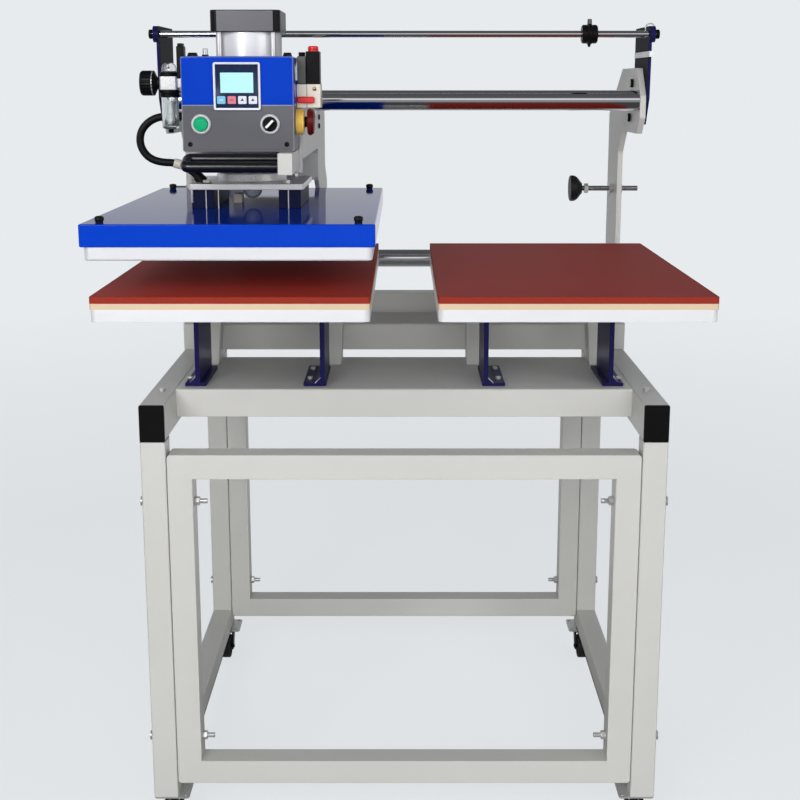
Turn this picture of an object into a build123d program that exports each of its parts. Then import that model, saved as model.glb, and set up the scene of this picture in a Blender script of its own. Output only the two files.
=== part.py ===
from build123d import *
import os
from math import cos, pi, radians, sin, tan

# A pneumatic heat press with two lower stations and one head that shuttles between them.
# Millimetres. +X is the operator's right, +Y points away from the operator, +Z is up.
# The origin is on the floor, under the centre of the machine's outline.

# How far a cutting shape runs past the face it cuts
past = 1.0

# Stand
stand_width = 834.0
stand_length = 697.0
stand_top = 740.0
tube = 40.0
side_tube_height = 60.0
tube_wall = 2.5
tube_corner = 3.0
cap_flange = 4.0
cap_insert = 18.0
cap_edge = 1.2
frame_gap = 1.0
frame_above_casters = 25.0
frame_below_tube = 21.0
frame_corner = 6.0
frame_edge = 2.0
overhang = 189.0

# Bolts that join the leg frames to the side frames
cross_bolt_r = 4.0
cross_bolt_clearance = 0.2
cross_bolt_up = 77.0
cross_bolt_down = 82.0
cross_bolt_tail = 20.0
cross_nut_half = 6.5
bolt_head_height = 5.5
bolt_head_r = 7.5

# Bolts on top of the side tubes and on the end plates
top_bolt_r = 5.0
top_bolt_back = 93.0
plate_bolt_inset = 22.0
plate_bolt_down = 18.0
plate_bolt_lower_down = 37.0
inner_bolt_back = 77.0
inner_bolt_rise = 89.0
inner_bolt_step = 18.0
inner_bolt_drop = 62.0

# Casters
wheel_r = 25.0
wheel_width = 18.0
wheel_edge = 3.0
wheel_rim = 7.0
wheel_dish = 3.0
wheel_hub_wall = 5.0
wheel_head_gap = 4.6
axle_r = 4.0
axle_end = 2.0
king_pin_r = 5.0
running_clearance = 0.06
part_gap = 0.4
caster_plate = 58.0
caster_plate_thick = 3.0
caster_plate_corner = 6.0
caster_hole_r = 3.2
caster_hole_inset = 7.0
caster_trail = 16.0
fork_sheet = 3.0
fork_side_gap = 2.0
fork_head_r = 18.0
fork_head_height = 8.0
fork_head_edge = 2.0
fork_foot_half = 9.0
fork_foot_drop = 7.0
fork_corner = 5.0
fork_step = 3.0

# Bed and rear beams
bed_height = 47.0
bed_front = 106.0
bed_depth = 248.0
sheet = 4.0
rear_beam_ahead = 139.0
rear_beam_depth = 121.0
rear_beam_height = 50.0
upright_depth = 40.0
upright_height = 88.0

# Lower platens
station_offset = 243.5
platen_width = 392.0
platen_depth = 592.0
platen_thick = 17.5
platen_corner = 10.0
foam_thick = 8.5
pad_thick = 9.5
pad_corner = 4.0
support_height = 168.0
support_width = 40.0
support_depth = 40.0
support_back = 180.0
support_outer_side = 108.0
support_inner_side = 112.0

# Brackets: each foot reaches further beyond its web on one side than on the other
bracket_outer_side = 100.5
bracket_outer_reaches = (17.0, 10.0)
bracket_inner_side = 107.5
bracket_inner_reaches = (28.0, 2.0)
bracket_start = 20.0
bracket_web = 8.0
bracket_depth = 130.0
bracket_foot_height = 6.0
bracket_top_half = 17.0
bracket_flare = 9.0
foot_bolt_r = 4.0
foot_bolt_height = 4.0
foot_bolt_pitch = 72.8

# End plates, placed from the stand's rear end
plate_thick = 10.0
column_inset = 28.0
column_depth = 114.0
plate_foot_drop = 58.0
plate_corner = 8.0
plate_nose_ahead = 15.0
plate_head_below_rail = 59.0
plate_head_above_rail = 57.0
plate_shoulder = 42.0
plate_chin_run = 26.0
plate_chin_rise = 28.0
plate_brow_run = 42.0
plate_brow_drop = 50.0
plate_rear_run = 138.0
plate_rear_drop = 86.0

# Shafts: the upper one is set by the press head's height, the lower one by the stand's top
rail_r = 18.0
rail_chamfer = 1.0
lower_rail_inset = 56.0
lower_rail_rise = 147.5
upper_rail_ahead = 255.0
upper_rail_above_head = 122.0
cable_rod_r = 6.0
cable_rod_ahead = 20.0
cable_rod_above_rail = 114.0
rod_bracket_thick = 6.0
rod_bracket_corner = 5.0
rod_bracket_lobe_r = 14.0
rod_bracket_lobe_proud = 4.0
rod_bracket_width = 126.0
rod_bracket_below_rail = 43.0
rod_bracket_foot = (30.0, 80.0)
rod_bracket_rear_rise = 72.0
rod_bracket_neck_run = 4.0
rod_bracket_neck_rise = 47.0
rod_bracket_front_drop = 30.0
rod_bracket_bolts = ((45.0, 73.0), (62.0, 33.0), (50.0, 11.0))
rod_bracket_bolt_r = 6.0
rod_bracket_bolt_proud = 4.0
rod_cap_r = 8.0
rod_cap_length = 6.0

# Adjustable end stops
stop_above_rail = 142.5
stop_ahead = 10.0
stop_rod_r = 5.0
stop_tail = 39.0
bumper_r = 25.5
bumper_length = 24.0
bumper_rim = 6.0
bumper_cone = 15.0
bumper_cone_less = 7.0
bumper_neck_r = 11.0
nut_half = 8.5
nut_length = 8.0
bumper_nut_gap = 5.0

# Cable trolley
trolley_at = 323.0
trolley_length = 27.0
trolley_r = 16.0
trolley_edge = 2.0
trolley_rib = 6.0
trolley_rib_proud = 2.0
trolley_stub_r = 4.0
trolley_stub_length = 10.0
trolley_pin_r = 2.5
trolley_pin_length = 6.0

# Carriage
carriage_half = 86.0
carriage_plate = 8.0
carriage_corner = 12.0
arm_below_rail = 86.0
carriage_above_rail = 34.0
carriage_rear_run = 90.0
back_plate_gap = 12.0
back_plate_below_rail = 144.0
back_plate_top_gap = 20.0
web_run = 42.0
web_drop = 22.0
carriage_rear_ahead = 10.0
foot_wall = 4.0
foot_above_rail = 44.0
foot_below_rail = 37.5
foot_shoulder_rise = 12.0
foot_neck_rise = 46.0
foot_plate_below = 30.0
foot_plate_above = 120.0
cross_plate_below_rail = 106.0
base_plate_below_rail = 26.0
base_plate_thick = 12.0
base_plate_depth = 176.0
base_plate_hole_gap = 4.0
travel_clearance = 1.0
bearing_r = 26.0
bearing_length = 58.0
bearing_flange_r = 33.0
bearing_flange = 8.0

# Cylinder
cap_side = 108.0
cap_front_gap = 6.0
cap_height = 33.0
cap_corner = 9.0
barrel_inset = 3.0
barrel_wall = 4.0
barrel_length = 100.0
piston_gap = 0.3
piston_height = 24.0
piston_top_space = 6.0
rod_r = 12.5
rod_hole_gap = 0.4
tie_rod_r = 4.5
tie_rod_inset = 12.5
pocket_r = 7.0
pocket_depth = 9.0
cap_screw_gap = 1.5
cap_screw_height = 6.0
guide_rod_r = 8.0
guide_rod_end = 6.0
guide_rod_chamfer = 1.0
guide_bush_wall = 6.0
guide_bush_length = 44.0
guide_spread = 32.0
guide_back = 72.0

# Press head
press_gap = 51.5
press_stroke = 51.0
heater_side_gap = 4.0
heater_thick = 19.0
heater_chamfer = 1.5
cover_width = 408.0
cover_depth = 608.0
cover_height = 32.0
cover_sheet = 2.0
cover_corner = 3.0
cover_inner_corner = 1.0
insulation_thick = 24.0
insulation_gap = 6.0
insulation_corner = 4.0
bar_height = 29.0
bar_width = 34.0
bar_offset = 67.0
bar_end_gap = 6.0
press_plate_width = 178.0
press_plate_depth = 178.0
press_plate_thick = 9.0
press_plate_corner = 6.0
hub_r = 55.0
hub_height = 14.0
hub_edge = 2.0
plate_screw_x = 62.0
plate_screw_y = 74.0
plate_screw_half = 6.0
plate_screw_head = 5.0
dome_r = 15.5
corner_knob_r = 6.5
corner_knob_height = 9.0
corner_knob_edge = 2.0
corner_knob_in_x = 24.0
corner_knob_in_y = 25.0
terminal_side = 25.0
terminal_back = 6.0
terminal_width = 14.0
terminal_depth = 26.0
terminal_height = 15.0

# Control box
box_width = 165.0
box_height = 138.0
box_below_base = 43.5
box_depth = 89.0
box_sheet = 2.0
box_corner = 3.0
controller_side = 68.5
controller_top_margin = 8.75
controller_proud = 5.0
controller_corner = 3.0
controller_bezel = 3.5
controller_recess = 1.2
controller_tail = 30.0
controller_tail_inset = 4.5
box_window_inset = 4.0
lens_width = 48.0
lens_height = 29.0
lens_thick = 1.5
lens_key_gap = 4.5
key_count = 4
key_space = 3.0
key_height = 11.4
key_bottom_gap = 5.35
key_proud = 1.6
key_travel = 1.0
key_depth = 3.5
key_edge = 0.8
key_side_gap = 0.35
start_button_side = -54.0
selector_side = 47.0
button_below_controller = 20.25
bezel_r = 14.5
bezel_hole_r = 10.6
bezel_thick = 5.0
bezel_edge = 2.0
button_hole_gap = 0.4
button_proud = 3.0
button_stem = 16.0
button_travel = 4.0
button_edge = 1.0
selector_proud = 7.0
selector_grip = 6.5
selector_grip_height = 9.0
selector_grip_gap = 1.25
stop_button_back = 43.0
stop_button_rise = 42.5
stop_collar_less = 1.0
stop_collar_length = 12.0
stop_collar_chamfer = 2.0
stop_cap_r = 20.0
stop_cap_length = 11.5
stop_cap_edge = 5.0
stop_travel = 4.0
stop_stem_r = 8.0

# Solenoid valve beside the box
valve_back = 45.0
valve_depth = 36.0
valve_gap = 0.5
valve_height = 35.0
valve_corner = 1.5
coil_side_margin = 1.0
coil_depth_margin = 3.0
coil_width = 21.0
coil_height = 48.0
coil_corner = 2.0
coil_cap_r = 8.0
coil_cap_height = 8.0
plug_width = 13.0
plug_depth_margin = 2.0
plug_height = 41.0
gland_r = 5.0
gland_height = 6.0
screw_r = 3.0
screw_in = 9.0
screw_rise = 28.0
screw_proud = 1.5

# Filter regulator on the left
regulator_back = 46.0
regulator_link = 11.5
regulator_link_half_depth = 8.0
regulator_link_half_height = 7.0
regulator_side = 26.0
regulator_corner = 3.0
regulator_rise = 99.5
regulator_body_height = 20.0
ring_height = 11.0
ring_r = 14.5
dome_window_r = 11.0
dome_window_height = 20.0
dome_window_edge = 6.0
bowl_r = 12.5
bowl_length = 47.0
bowl_wall = 2.0
bowl_floor = 4.0
drain_r = 4.0
drain_length = 5.0
knob_r = 18.5
knob_length = 25.0
knob_edge = 2.5
knob_flutes = 12
knob_flute_r = 1.6
knob_flute_out = 0.5
knob_shoulder = 8.0
knob_neck_r = 9.0
knob_neck = 4.0

# Air fittings on the box: place beside its middle, radius and height of each
fittings = ((-71.0, 7.0, 6.0), (-52.0, 4.0, 12.0), (70.0, 6.0, 6.0))
fitting_nut_more = 1.5
fitting_nut_height = 3.0

# Handle
handle_r = 8.2
handle_core_r = 5.0
handle_ahead = 27.0
handle_box_gap = 2.3
handle_rise = 10.0
handle_run = 26.0
handle_left = -74.5
handle_right = 60.5
handle_mount_width = 21.5
handle_mount_drop = 11.0
handle_mount_ahead = 12.0

# Heater cable, a fixed loop from the carriage to the press plate
cable_r = 6.0
cable_start_inset = 8.0
cable_start_rise = 6.0
gland_side = 70.3
gland_in = 39.0
gland_length = 14.0
gland_body_r = 8.5
cable_last_run = 28.0
# how far each bend of the cable lies from its start
cable_bends = ((-28.5, 0.0, 0.0), (-57.5, -1.0, -2.0), (-79.5, -1.0, -21.0), (-81.5, 0.0, -49.0),
               (-61.5, 1.0, -71.0))

# Places along Y
front_y = -(overhang + stand_length) / 2
stand_front = front_y + overhang
stand_rear = stand_front + stand_length
column_rear_y = stand_rear - column_inset
column_front_y = column_rear_y - column_depth
lower_rail_y = column_front_y + lower_rail_inset
upper_rail_y = lower_rail_y - upper_rail_ahead
cable_rod_y = upper_rail_y - cable_rod_ahead
stop_y = lower_rail_y - stop_ahead
cover_centre_y = front_y + cover_depth / 2
cross_plate_y = cover_centre_y - cap_side / 2 - cap_front_gap
back_plate_y = upper_rail_y + bearing_flange_r + back_plate_gap
box_face_y = cross_plate_y - carriage_plate - box_depth
handle_y = box_face_y - handle_ahead
stop_button_y = box_face_y + stop_button_back
press_plate_front_y = cover_centre_y - press_plate_depth / 2
platen_rear_y = cover_centre_y + platen_depth / 2
support_front_y = stand_front + bed_front + support_back
support_lean = platen_rear_y - support_depth - support_front_y

# Heights
caster_height = 2 * wheel_r + wheel_head_gap + fork_head_height + part_gap + caster_plate_thick
side_tube_bottom = stand_top - side_tube_height
frame_bottom = caster_height + frame_above_casters
frame_top = side_tube_bottom - frame_below_tube
platen_bottom = stand_top + support_height
platen_top = platen_bottom + platen_thick
foam_top = platen_top + foam_thick
pad_top = foam_top + pad_thick
heater_bottom = pad_top + press_gap
heater_top = heater_bottom + heater_thick
cover_top = heater_top + cover_height
bar_top = cover_top + bar_height
press_plate_top = bar_top + press_plate_thick
hub_top = press_plate_top + hub_height
lower_rail_height = stand_top + lower_rail_rise
upper_rail_height = press_plate_top + upper_rail_above_head
cable_rod_height = upper_rail_height + cable_rod_above_rail
stop_height = lower_rail_height + stop_above_rail
carriage_top = upper_rail_height + carriage_above_rail
arm_bottom = upper_rail_height - arm_below_rail
back_plate_bottom = upper_rail_height - back_plate_below_rail
base_plate_top = upper_rail_height - base_plate_below_rail
base_plate_bottom = base_plate_top - base_plate_thick
barrel_base = base_plate_top + cap_height
barrel_top = barrel_base + barrel_length
piston_top = barrel_top - piston_top_space
box_bottom = base_plate_top - box_below_base
box_top = box_bottom + box_height
controller_bottom = box_top - controller_top_margin - controller_side
controller_height = controller_bottom + controller_side / 2
button_height = controller_bottom - button_below_controller
stop_button_height = box_bottom + stop_button_rise
valve_bottom = stop_button_height + stop_cap_r + valve_gap
regulator_height = box_bottom + regulator_rise
handle_height = box_bottom - handle_box_gap - handle_r - handle_rise

# Places along X, and sizes that follow from others
side_x = stand_width / 2
leg_inner = side_x - tube
plate_outer = side_x + plate_thick
head_x = -station_offset
box_left = head_x - box_width / 2
box_right = head_x + box_width / 2
regulator_x = box_left - regulator_link - regulator_side / 2
bumper_face = station_offset + carriage_half + travel_clearance
caster_x = side_x - caster_plate / 2
caster_front_y = stand_front + caster_plate / 2
caster_rear_y = stand_rear - caster_plate / 2
barrel_r = cap_side / 2 - barrel_inset
tie_rod_offset = cap_side / 2 - tie_rod_inset
controller_window = controller_side / 2 - controller_bezel
key_pitch = 2 * controller_window / key_count
key_width = key_pitch - key_space
key_down = controller_window - key_bottom_gap - key_height / 2
lens_up = key_height / 2 + lens_key_gap + lens_height / 2 - key_down
button_r = bezel_hole_r - button_hole_gap
stop_collar_r = stop_cap_r - stop_collar_less
valve_width = coil_width + plug_width + 2 * coil_side_margin
handle_bend = handle_run / 2


def block(x0, x1, y0, y1, z0, z1):
    size = (abs(x1 - x0), abs(y1 - y0), abs(z1 - z0))
    return Pos((x0 + x1) / 2, (y0 + y1) / 2, (z0 + z1) / 2) * Box(*size)


def bar(x0, x1, y0, y1, z0, z1, axis):
    # a length of square tube's outside, with its long edges rounded
    return fillet(block(x0, x1, y0, y1, z0, z1).edges().filter_by(axis), tube_corner)


def round_x(radius, x0, x1, y, z):
    return Pos((x0 + x1) / 2, y, z) * Rot(0, 90, 0) * Cylinder(radius, abs(x1 - x0))


def round_y(radius, y0, y1, x, z):
    return Pos(x, (y0 + y1) / 2, z) * Rot(90, 0, 0) * Cylinder(radius, abs(y1 - y0))


def round_z(radius, z0, z1, x, y):
    return Pos(x, y, (z0 + z1) / 2) * Cylinder(radius, abs(z1 - z0))


def hex_x(half, x0, x1, y, z):
    profile = Plane.YZ * RegularPolygon(half, 6, major_radius=False)
    return Pos(min(x0, x1), y, z) * extrude(profile, abs(x1 - x0))


def hex_z(half, z0, z1, x, y):
    return Pos(x, y, min(z0, z1)) * extrude(RegularPolygon(half, 6, major_radius=False), abs(z1 - z0))


def plate_yz(points, corner, x0, x1):
    outline = make_face(Polyline(*[(y, z) for y, z in points], close=True))
    outline = fillet(outline.vertices(), corner)
    return Pos(min(x0, x1), 0, 0) * extrude(Plane.YZ * outline, abs(x1 - x0))


def group(pieces):
    return Compound(list(pieces))


def mirrored(shape):
    return mirror(shape, Plane.YZ)


def save(shape, node):
    export_step(shape, f"parts/{node}.step")


# Stand

def cross_bolt_places():
    places = []
    for y in (stand_front + tube / 2, stand_rear - tube / 2):
        for z in (frame_bottom + cross_bolt_up, frame_top - cross_bolt_down):
            places.append((y, z))
    return places


def cross_bolt_holes(side):
    radius = cross_bolt_r + cross_bolt_clearance
    end = leg_inner - frame_gap - tube - past
    return [round_x(radius, side * (side_x + past), side * end, y, z) for y, z in cross_bolt_places()]


def side_frame():
    tube_front = stand_front + cap_flange
    tube_rear = stand_rear - cap_flange
    frame = bar(leg_inner, side_x, tube_front, tube_rear, side_tube_bottom, stand_top, Axis.Y)
    inside = block(leg_inner + tube_wall, side_x - tube_wall, tube_front - past, tube_rear + past,
                   side_tube_bottom + tube_wall, stand_top - tube_wall)
    for y0 in (stand_front, stand_rear - tube):
        frame += bar(leg_inner, side_x, y0, y0 + tube, caster_height, side_tube_bottom, Axis.Z)
        inside += block(leg_inner + tube_wall, side_x - tube_wall, y0 + tube_wall, y0 + tube - tube_wall,
                        caster_height - past, side_tube_bottom)
    low_front = stand_front + tube
    low_rear = stand_rear - tube
    frame += bar(leg_inner, side_x, low_front, low_rear, caster_height, caster_height + tube, Axis.Y)
    inside += block(leg_inner + tube_wall, side_x - tube_wall, low_front, low_rear,
                    caster_height + tube_wall, caster_height + tube - tube_wall)
    frame -= inside
    for hole in cross_bolt_holes(1):
        frame -= hole
    return frame


def leg_frame(y0):
    half = leg_inner - frame_gap
    middle = (frame_bottom + frame_top) / 2
    high = frame_top - frame_bottom
    outline = Rectangle(2 * half, high)
    outline = fillet(outline.vertices(), frame_corner)
    opening = Rectangle(2 * (half - tube), high - 2 * tube)
    bore = Rectangle(2 * (half - tube_wall), high - 2 * tube_wall)
    bore -= Rectangle(2 * (half - tube + tube_wall), high - 2 * (tube - tube_wall))
    frame = extrude(Plane.XZ * (outline - opening), -tube)
    frame = fillet(frame.edges().filter_by(Plane.XZ), frame_edge)
    frame -= Pos(0, tube_wall, 0) * extrude(Plane.XZ * bore, -(tube - 2 * tube_wall))
    frame = Pos(0, y0, middle) * frame
    for side in (-1, 1):
        for hole in cross_bolt_holes(side):
            frame -= hole
    return frame


def tube_cap(x0, x1, y_face, inward):
    flange = bar(x0, x1, y_face, y_face + inward * cap_flange, side_tube_bottom, stand_top, Axis.Y)
    flange = fillet(flange.edges().group_by(Axis.Y)[0 if inward > 0 else -1], cap_edge)
    insert_start = y_face + inward * cap_flange
    insert = block(x0 + tube_wall, x1 - tube_wall, insert_start, insert_start + inward * cap_insert,
                   side_tube_bottom + tube_wall, stand_top - tube_wall)
    return flange + insert


def tube_end_caps():
    caps = []
    for x0, x1 in ((-side_x, -leg_inner), (leg_inner, side_x)):
        caps.append(tube_cap(x0, x1, stand_front, 1))
        caps.append(tube_cap(x0, x1, stand_rear, -1))
    return group(caps)


def cross_bolt(side, y, z):
    inner_face = leg_inner - frame_gap - tube
    shank = round_x(cross_bolt_r, side * side_x, side * (inner_face - cross_bolt_tail), y, z)
    head = round_x(bolt_head_r, side * side_x, side * (side_x + bolt_head_height), y, z)
    nut = hex_x(cross_nut_half, side * inner_face, side * (inner_face - nut_length), y, z)
    return shank + head + nut


def frame_bolts():
    bolts = []
    for side in (-1, 1):
        for y, z in cross_bolt_places():
            bolts.append(cross_bolt(side, y, z))
        outside = side * plate_outer
        for y, z in plate_bolt_places():
            bolts.append(hex_x(bolt_head_r, outside, outside + side * bolt_head_height, y, z))
        for y, z in inner_bolt_places():
            bolts.append(hex_x(bolt_head_r, side * side_x, side * (side_x - bolt_head_height), y, z))
        bolts.append(hex_z(top_bolt_r, stand_top, stand_top + bolt_head_height, side * (side_x - tube / 2),
                           stand_front + top_bolt_back))
        for inner, outer in stop_nut_places():
            nut = hex_x(nut_half, side * inner, side * outer, stop_y, stop_height)
            bore = round_x(stop_rod_r + running_clearance, side * inner, side * outer, stop_y, stop_height)
            bolts.append(nut - bore)
    return group(bolts)


def bed():
    y0 = stand_front + bed_front
    y1 = y0 + bed_depth
    outer = block(-leg_inner, leg_inner, y0, y1, stand_top - bed_height, stand_top)
    outer = fillet(outer.edges().filter_by(Axis.X).group_by(Axis.Z)[-1], sheet)
    return outer - block(-leg_inner - past, leg_inner + past, y0 + sheet, y1 - sheet, 0, stand_top - sheet)


def rear_beams():
    y0 = column_front_y - rear_beam_ahead
    y1 = y0 + rear_beam_depth
    beam = block(-side_x, side_x, y0, y1, stand_top, stand_top + rear_beam_height)
    beam = fillet(beam.edges().filter_by(Axis.X).group_by(Axis.Z)[-1], sheet)
    beam -= block(-side_x - past, side_x + past, y0 + sheet, y1 - sheet, stand_top - past,
                  stand_top + rear_beam_height - sheet)
    upright = block(-side_x, side_x, y1, y1 + upright_depth, stand_top, stand_top + upright_height)
    upright -= block(-side_x - past, side_x + past, y1 + sheet, y1 + upright_depth - sheet,
                     stand_top + sheet, stand_top + upright_height - sheet)
    return group([beam, upright])


# Casters

def caster_plate_piece(x, y):
    half = caster_plate / 2
    plate = block(x - half, x + half, y - half, y + half, caster_height - caster_plate_thick, caster_height)
    plate = fillet(plate.edges().filter_by(Axis.Z), caster_plate_corner)
    reach = half - caster_hole_inset
    for dx in (-reach, reach):
        for dy in (-reach, reach):
            plate -= round_z(caster_hole_r, 0, caster_height + past, x + dx, y + dy)
    return plate - round_z(king_pin_r + running_clearance, 0, caster_height + past, x, y)


def caster_fork(x, y):
    head_top = caster_height - caster_plate_thick - part_gap
    head_bottom = head_top - fork_head_height
    cheek_in = wheel_width / 2 + fork_side_gap
    axle_y = y - caster_trail
    fork = round_z(fork_head_r, head_bottom, head_top, x, y)
    fork = fillet(fork.edges().group_by(Axis.Z)[-1], fork_head_edge)
    fork += round_z(king_pin_r, head_top, caster_height - part_gap, x, y)
    foot = wheel_r - fork_foot_drop
    profile = [(y + fork_head_r - fork_step, head_bottom), (y - fork_head_r, head_bottom),
               (axle_y - fork_foot_half, foot), (axle_y + fork_foot_half, foot)]
    for side in (-1, 1):
        x0 = x + side * cheek_in
        fork += plate_yz(profile, fork_corner, x0, x0 + side * fork_sheet)
    span = cheek_in + fork_sheet
    fork += block(x - span, x + span, y - fork_head_r + fork_step, y + fork_head_r - fork_step, head_bottom,
                  head_bottom + fork_sheet)
    fork += round_x(axle_r, x - span - axle_end, x + span + axle_end, axle_y, wheel_r)
    return fork


def caster_wheel(x, y):
    axle_y = y - caster_trail
    half = wheel_width / 2
    wheel = round_x(wheel_r, x - half, x + half, axle_y, wheel_r)
    wheel = fillet(wheel.edges(), wheel_edge)
    for side in (-1, 1):
        x0 = x + side * (half - wheel_dish)
        recess = round_x(wheel_r - wheel_rim, x0, x + side * (half + past), axle_y, wheel_r)
        recess -= round_x(axle_r + wheel_hub_wall, x0, x + side * half, axle_y, wheel_r)
        wheel -= recess
    return wheel - round_x(axle_r + running_clearance, x - half - past, x + half + past, axle_y, wheel_r)


def caster_places():
    return {"front_left": (-caster_x, caster_front_y), "front_right": (caster_x, caster_front_y),
            "rear_left": (-caster_x, caster_rear_y), "rear_right": (caster_x, caster_rear_y)}


# Lower stations

def station_pieces(make):
    left = make()
    return group([left, mirrored(left)])


def slab(width, depth, z0, z1, corner):
    y0 = cover_centre_y - depth / 2
    piece = block(head_x - width / 2, head_x + width / 2, y0, y0 + depth, z0, z1)
    return fillet(piece.edges().filter_by(Axis.Z), corner)


def leaning_tube(x, half, inset):
    y0 = support_front_y + inset
    y1 = y0 + support_depth - 2 * inset
    points = [(y0, stand_top), (y1, stand_top), (y1 + support_lean, platen_bottom),
              (y0 + support_lean, platen_bottom)]
    face = make_face(Polyline(*points, close=True))
    return Pos(x - half, 0, 0) * extrude(Plane.YZ * face, 2 * half)


def platen_support(offset):
    x = head_x + offset
    # the lean makes the wall thicker when it is measured along Y
    wall = tube_wall * (1 + (support_lean / support_height) ** 2) ** 0.5
    return leaning_tube(x, support_width / 2, 0) - leaning_tube(x, support_width / 2 - tube_wall, wall)


def platen_bracket(offset, reaches):
    x = head_x + offset
    outward, inward = reaches
    half = bracket_web / 2
    y0 = stand_front + bed_front + bracket_start
    foot_top = stand_top + bracket_foot_height
    flange_bottom = platen_bottom - bracket_foot_height
    foot_left = x - half - outward
    foot_right = x + half + inward
    points = [(foot_left, stand_top), (foot_right, stand_top), (foot_right, foot_top), (x + half, foot_top),
              (x + half, flange_bottom), (x + bracket_top_half, flange_bottom),
              (x + bracket_top_half, platen_bottom), (x - bracket_top_half, platen_bottom),
              (x - bracket_top_half, flange_bottom), (x - half, flange_bottom),
              (x - half, foot_top + bracket_flare), (x - half - bracket_flare, foot_top), (foot_left, foot_top)]
    face = make_face(Polyline(*points, close=True))
    bracket = Pos(0, y0, 0) * extrude(Plane.XZ * face, -bracket_depth)
    bolt_x = foot_left + (outward - bracket_flare) / 2
    for side in (-1, 1):
        y = y0 + bracket_depth / 2 + side * foot_bolt_pitch / 2
        bracket += hex_z(foot_bolt_r, foot_top, foot_top + foot_bolt_height, bolt_x, y)
    return bracket


def platen_supports():
    left = [platen_support(-support_outer_side), platen_support(support_inner_side)]
    return group(left + [mirrored(piece) for piece in left])


def platen_brackets():
    left = [platen_bracket(-bracket_outer_side, bracket_outer_reaches),
            platen_bracket(bracket_inner_side, bracket_inner_reaches)]
    return group(left + [mirrored(piece) for piece in left])


# End plates and shafts

def plate_bolt_places():
    places = []
    for y in (column_front_y + plate_bolt_inset, column_rear_y - plate_bolt_inset):
        for down in (plate_bolt_lower_down, plate_bolt_down):
            places.append((y, stand_top - down))
    return places


def inner_bolt_places():
    y = upper_rail_y - plate_nose_ahead + inner_bolt_back
    z = upper_rail_height - plate_head_below_rail + inner_bolt_rise
    return [(y, z), (y + inner_bolt_step, z - inner_bolt_drop)]


def stop_nut_places():
    return [(side_x - nut_length, side_x), (plate_outer, plate_outer + nut_length)]


def end_plate():
    foot = stand_top - plate_foot_drop
    nose = upper_rail_y - plate_nose_ahead
    low = upper_rail_height - plate_head_below_rail
    high = upper_rail_height + plate_head_above_rail
    points = [(column_front_y, foot), (column_front_y, low - plate_shoulder),
              (column_front_y - plate_shoulder, low),
              (nose + plate_chin_run, low), (nose, low + plate_chin_rise), (nose, high - plate_brow_drop),
              (nose + plate_brow_run, high), (column_rear_y - plate_rear_run, high),
              (column_rear_y, high - plate_rear_drop), (column_rear_y, foot)]
    plate = plate_yz(points, plate_corner, side_x, plate_outer)
    return plate - round_x(stop_rod_r + running_clearance, side_x - past, plate_outer + past, stop_y,
                           stop_height)


def chrome_rails():
    upper = round_x(rail_r, -side_x, side_x, upper_rail_y, upper_rail_height)
    lower = round_x(rail_r, -side_x, side_x, lower_rail_y, lower_rail_height)
    return group([chamfer(upper.edges(), rail_chamfer), chamfer(lower.edges(), rail_chamfer)])


def cable_rod():
    end = plate_outer + rod_bracket_thick + rod_cap_length
    rod = round_x(cable_rod_r, -end, end, cable_rod_y, cable_rod_height)
    for side in (-1, 1):
        rod += round_x(rod_cap_r, side * end, side * (end + rod_cap_length), cable_rod_y, cable_rod_height)
    return rod


def rod_bracket():
    front = cable_rod_y
    rear = front + rod_bracket_width
    top = cable_rod_height + rod_bracket_lobe_r
    foot = upper_rail_height - rod_bracket_below_rail
    foot_front, foot_rear = rod_bracket_foot
    points = [(front, top), (rear, top), (rear, foot + rod_bracket_rear_rise), (front + foot_rear, foot),
              (front + foot_front, foot), (front + rod_bracket_neck_run, foot + rod_bracket_neck_rise),
              (front, cable_rod_height - rod_bracket_front_drop)]
    x0 = plate_outer
    x1 = plate_outer + rod_bracket_thick
    lobe_end = x1 + rod_bracket_lobe_proud
    plate = plate_yz(points, rod_bracket_corner, x0, x1)
    plate += round_x(rod_bracket_lobe_r, x0, lobe_end, cable_rod_y, cable_rod_height)
    plate -= round_x(cable_rod_r, x0 - past, lobe_end + past, cable_rod_y, cable_rod_height)
    for back, rise in rod_bracket_bolts:
        plate += round_x(rod_bracket_bolt_r, x1, x1 + rod_bracket_bolt_proud, front + back, foot + rise)
    return plate


# End stops

def stop_screw(side):
    y, z = stop_y, stop_height
    start = bumper_face + bumper_length
    screw = round_x(stop_rod_r, side * start, side * (plate_outer + stop_tail), y, z)
    nut_start = start + bumper_nut_gap
    return screw + hex_x(nut_half, side * nut_start, side * (nut_start + nut_length), y, z)


def stop_bumper(side):
    x0 = bumper_face
    x1 = bumper_face + bumper_length
    points = [(x0, 0), (x0, bumper_r), (x0 + bumper_rim, bumper_r),
              (x0 + bumper_cone, bumper_r - bumper_cone_less), (x1, bumper_neck_r), (x1, 0)]
    face = make_face(Polyline(*points, close=True))
    bumper = Pos(0, stop_y, stop_height) * revolve(Plane.XZ * face, Axis.X, 360)
    return bumper if side > 0 else mirrored(bumper)


def cable_trolley():
    x0 = trolley_at - trolley_length / 2
    x1 = trolley_at + trolley_length / 2
    y, z = cable_rod_y, cable_rod_height
    body = round_x(trolley_r, x0, x1, y, z)
    body = fillet(body.edges(), trolley_edge)
    rib_r = trolley_r + trolley_rib_proud
    body += round_x(rib_r, trolley_at - trolley_rib / 2, trolley_at + trolley_rib / 2, y, z)
    body += round_z(trolley_stub_r, z + cable_rod_r, z + trolley_r + trolley_stub_length, trolley_at, y)
    body += round_z(trolley_pin_r, z - trolley_r - trolley_pin_length, z - cable_rod_r, trolley_at, y)
    return body - round_x(cable_rod_r + running_clearance, x0 - past, x1 + past, y, z)


# Carriage

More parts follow.
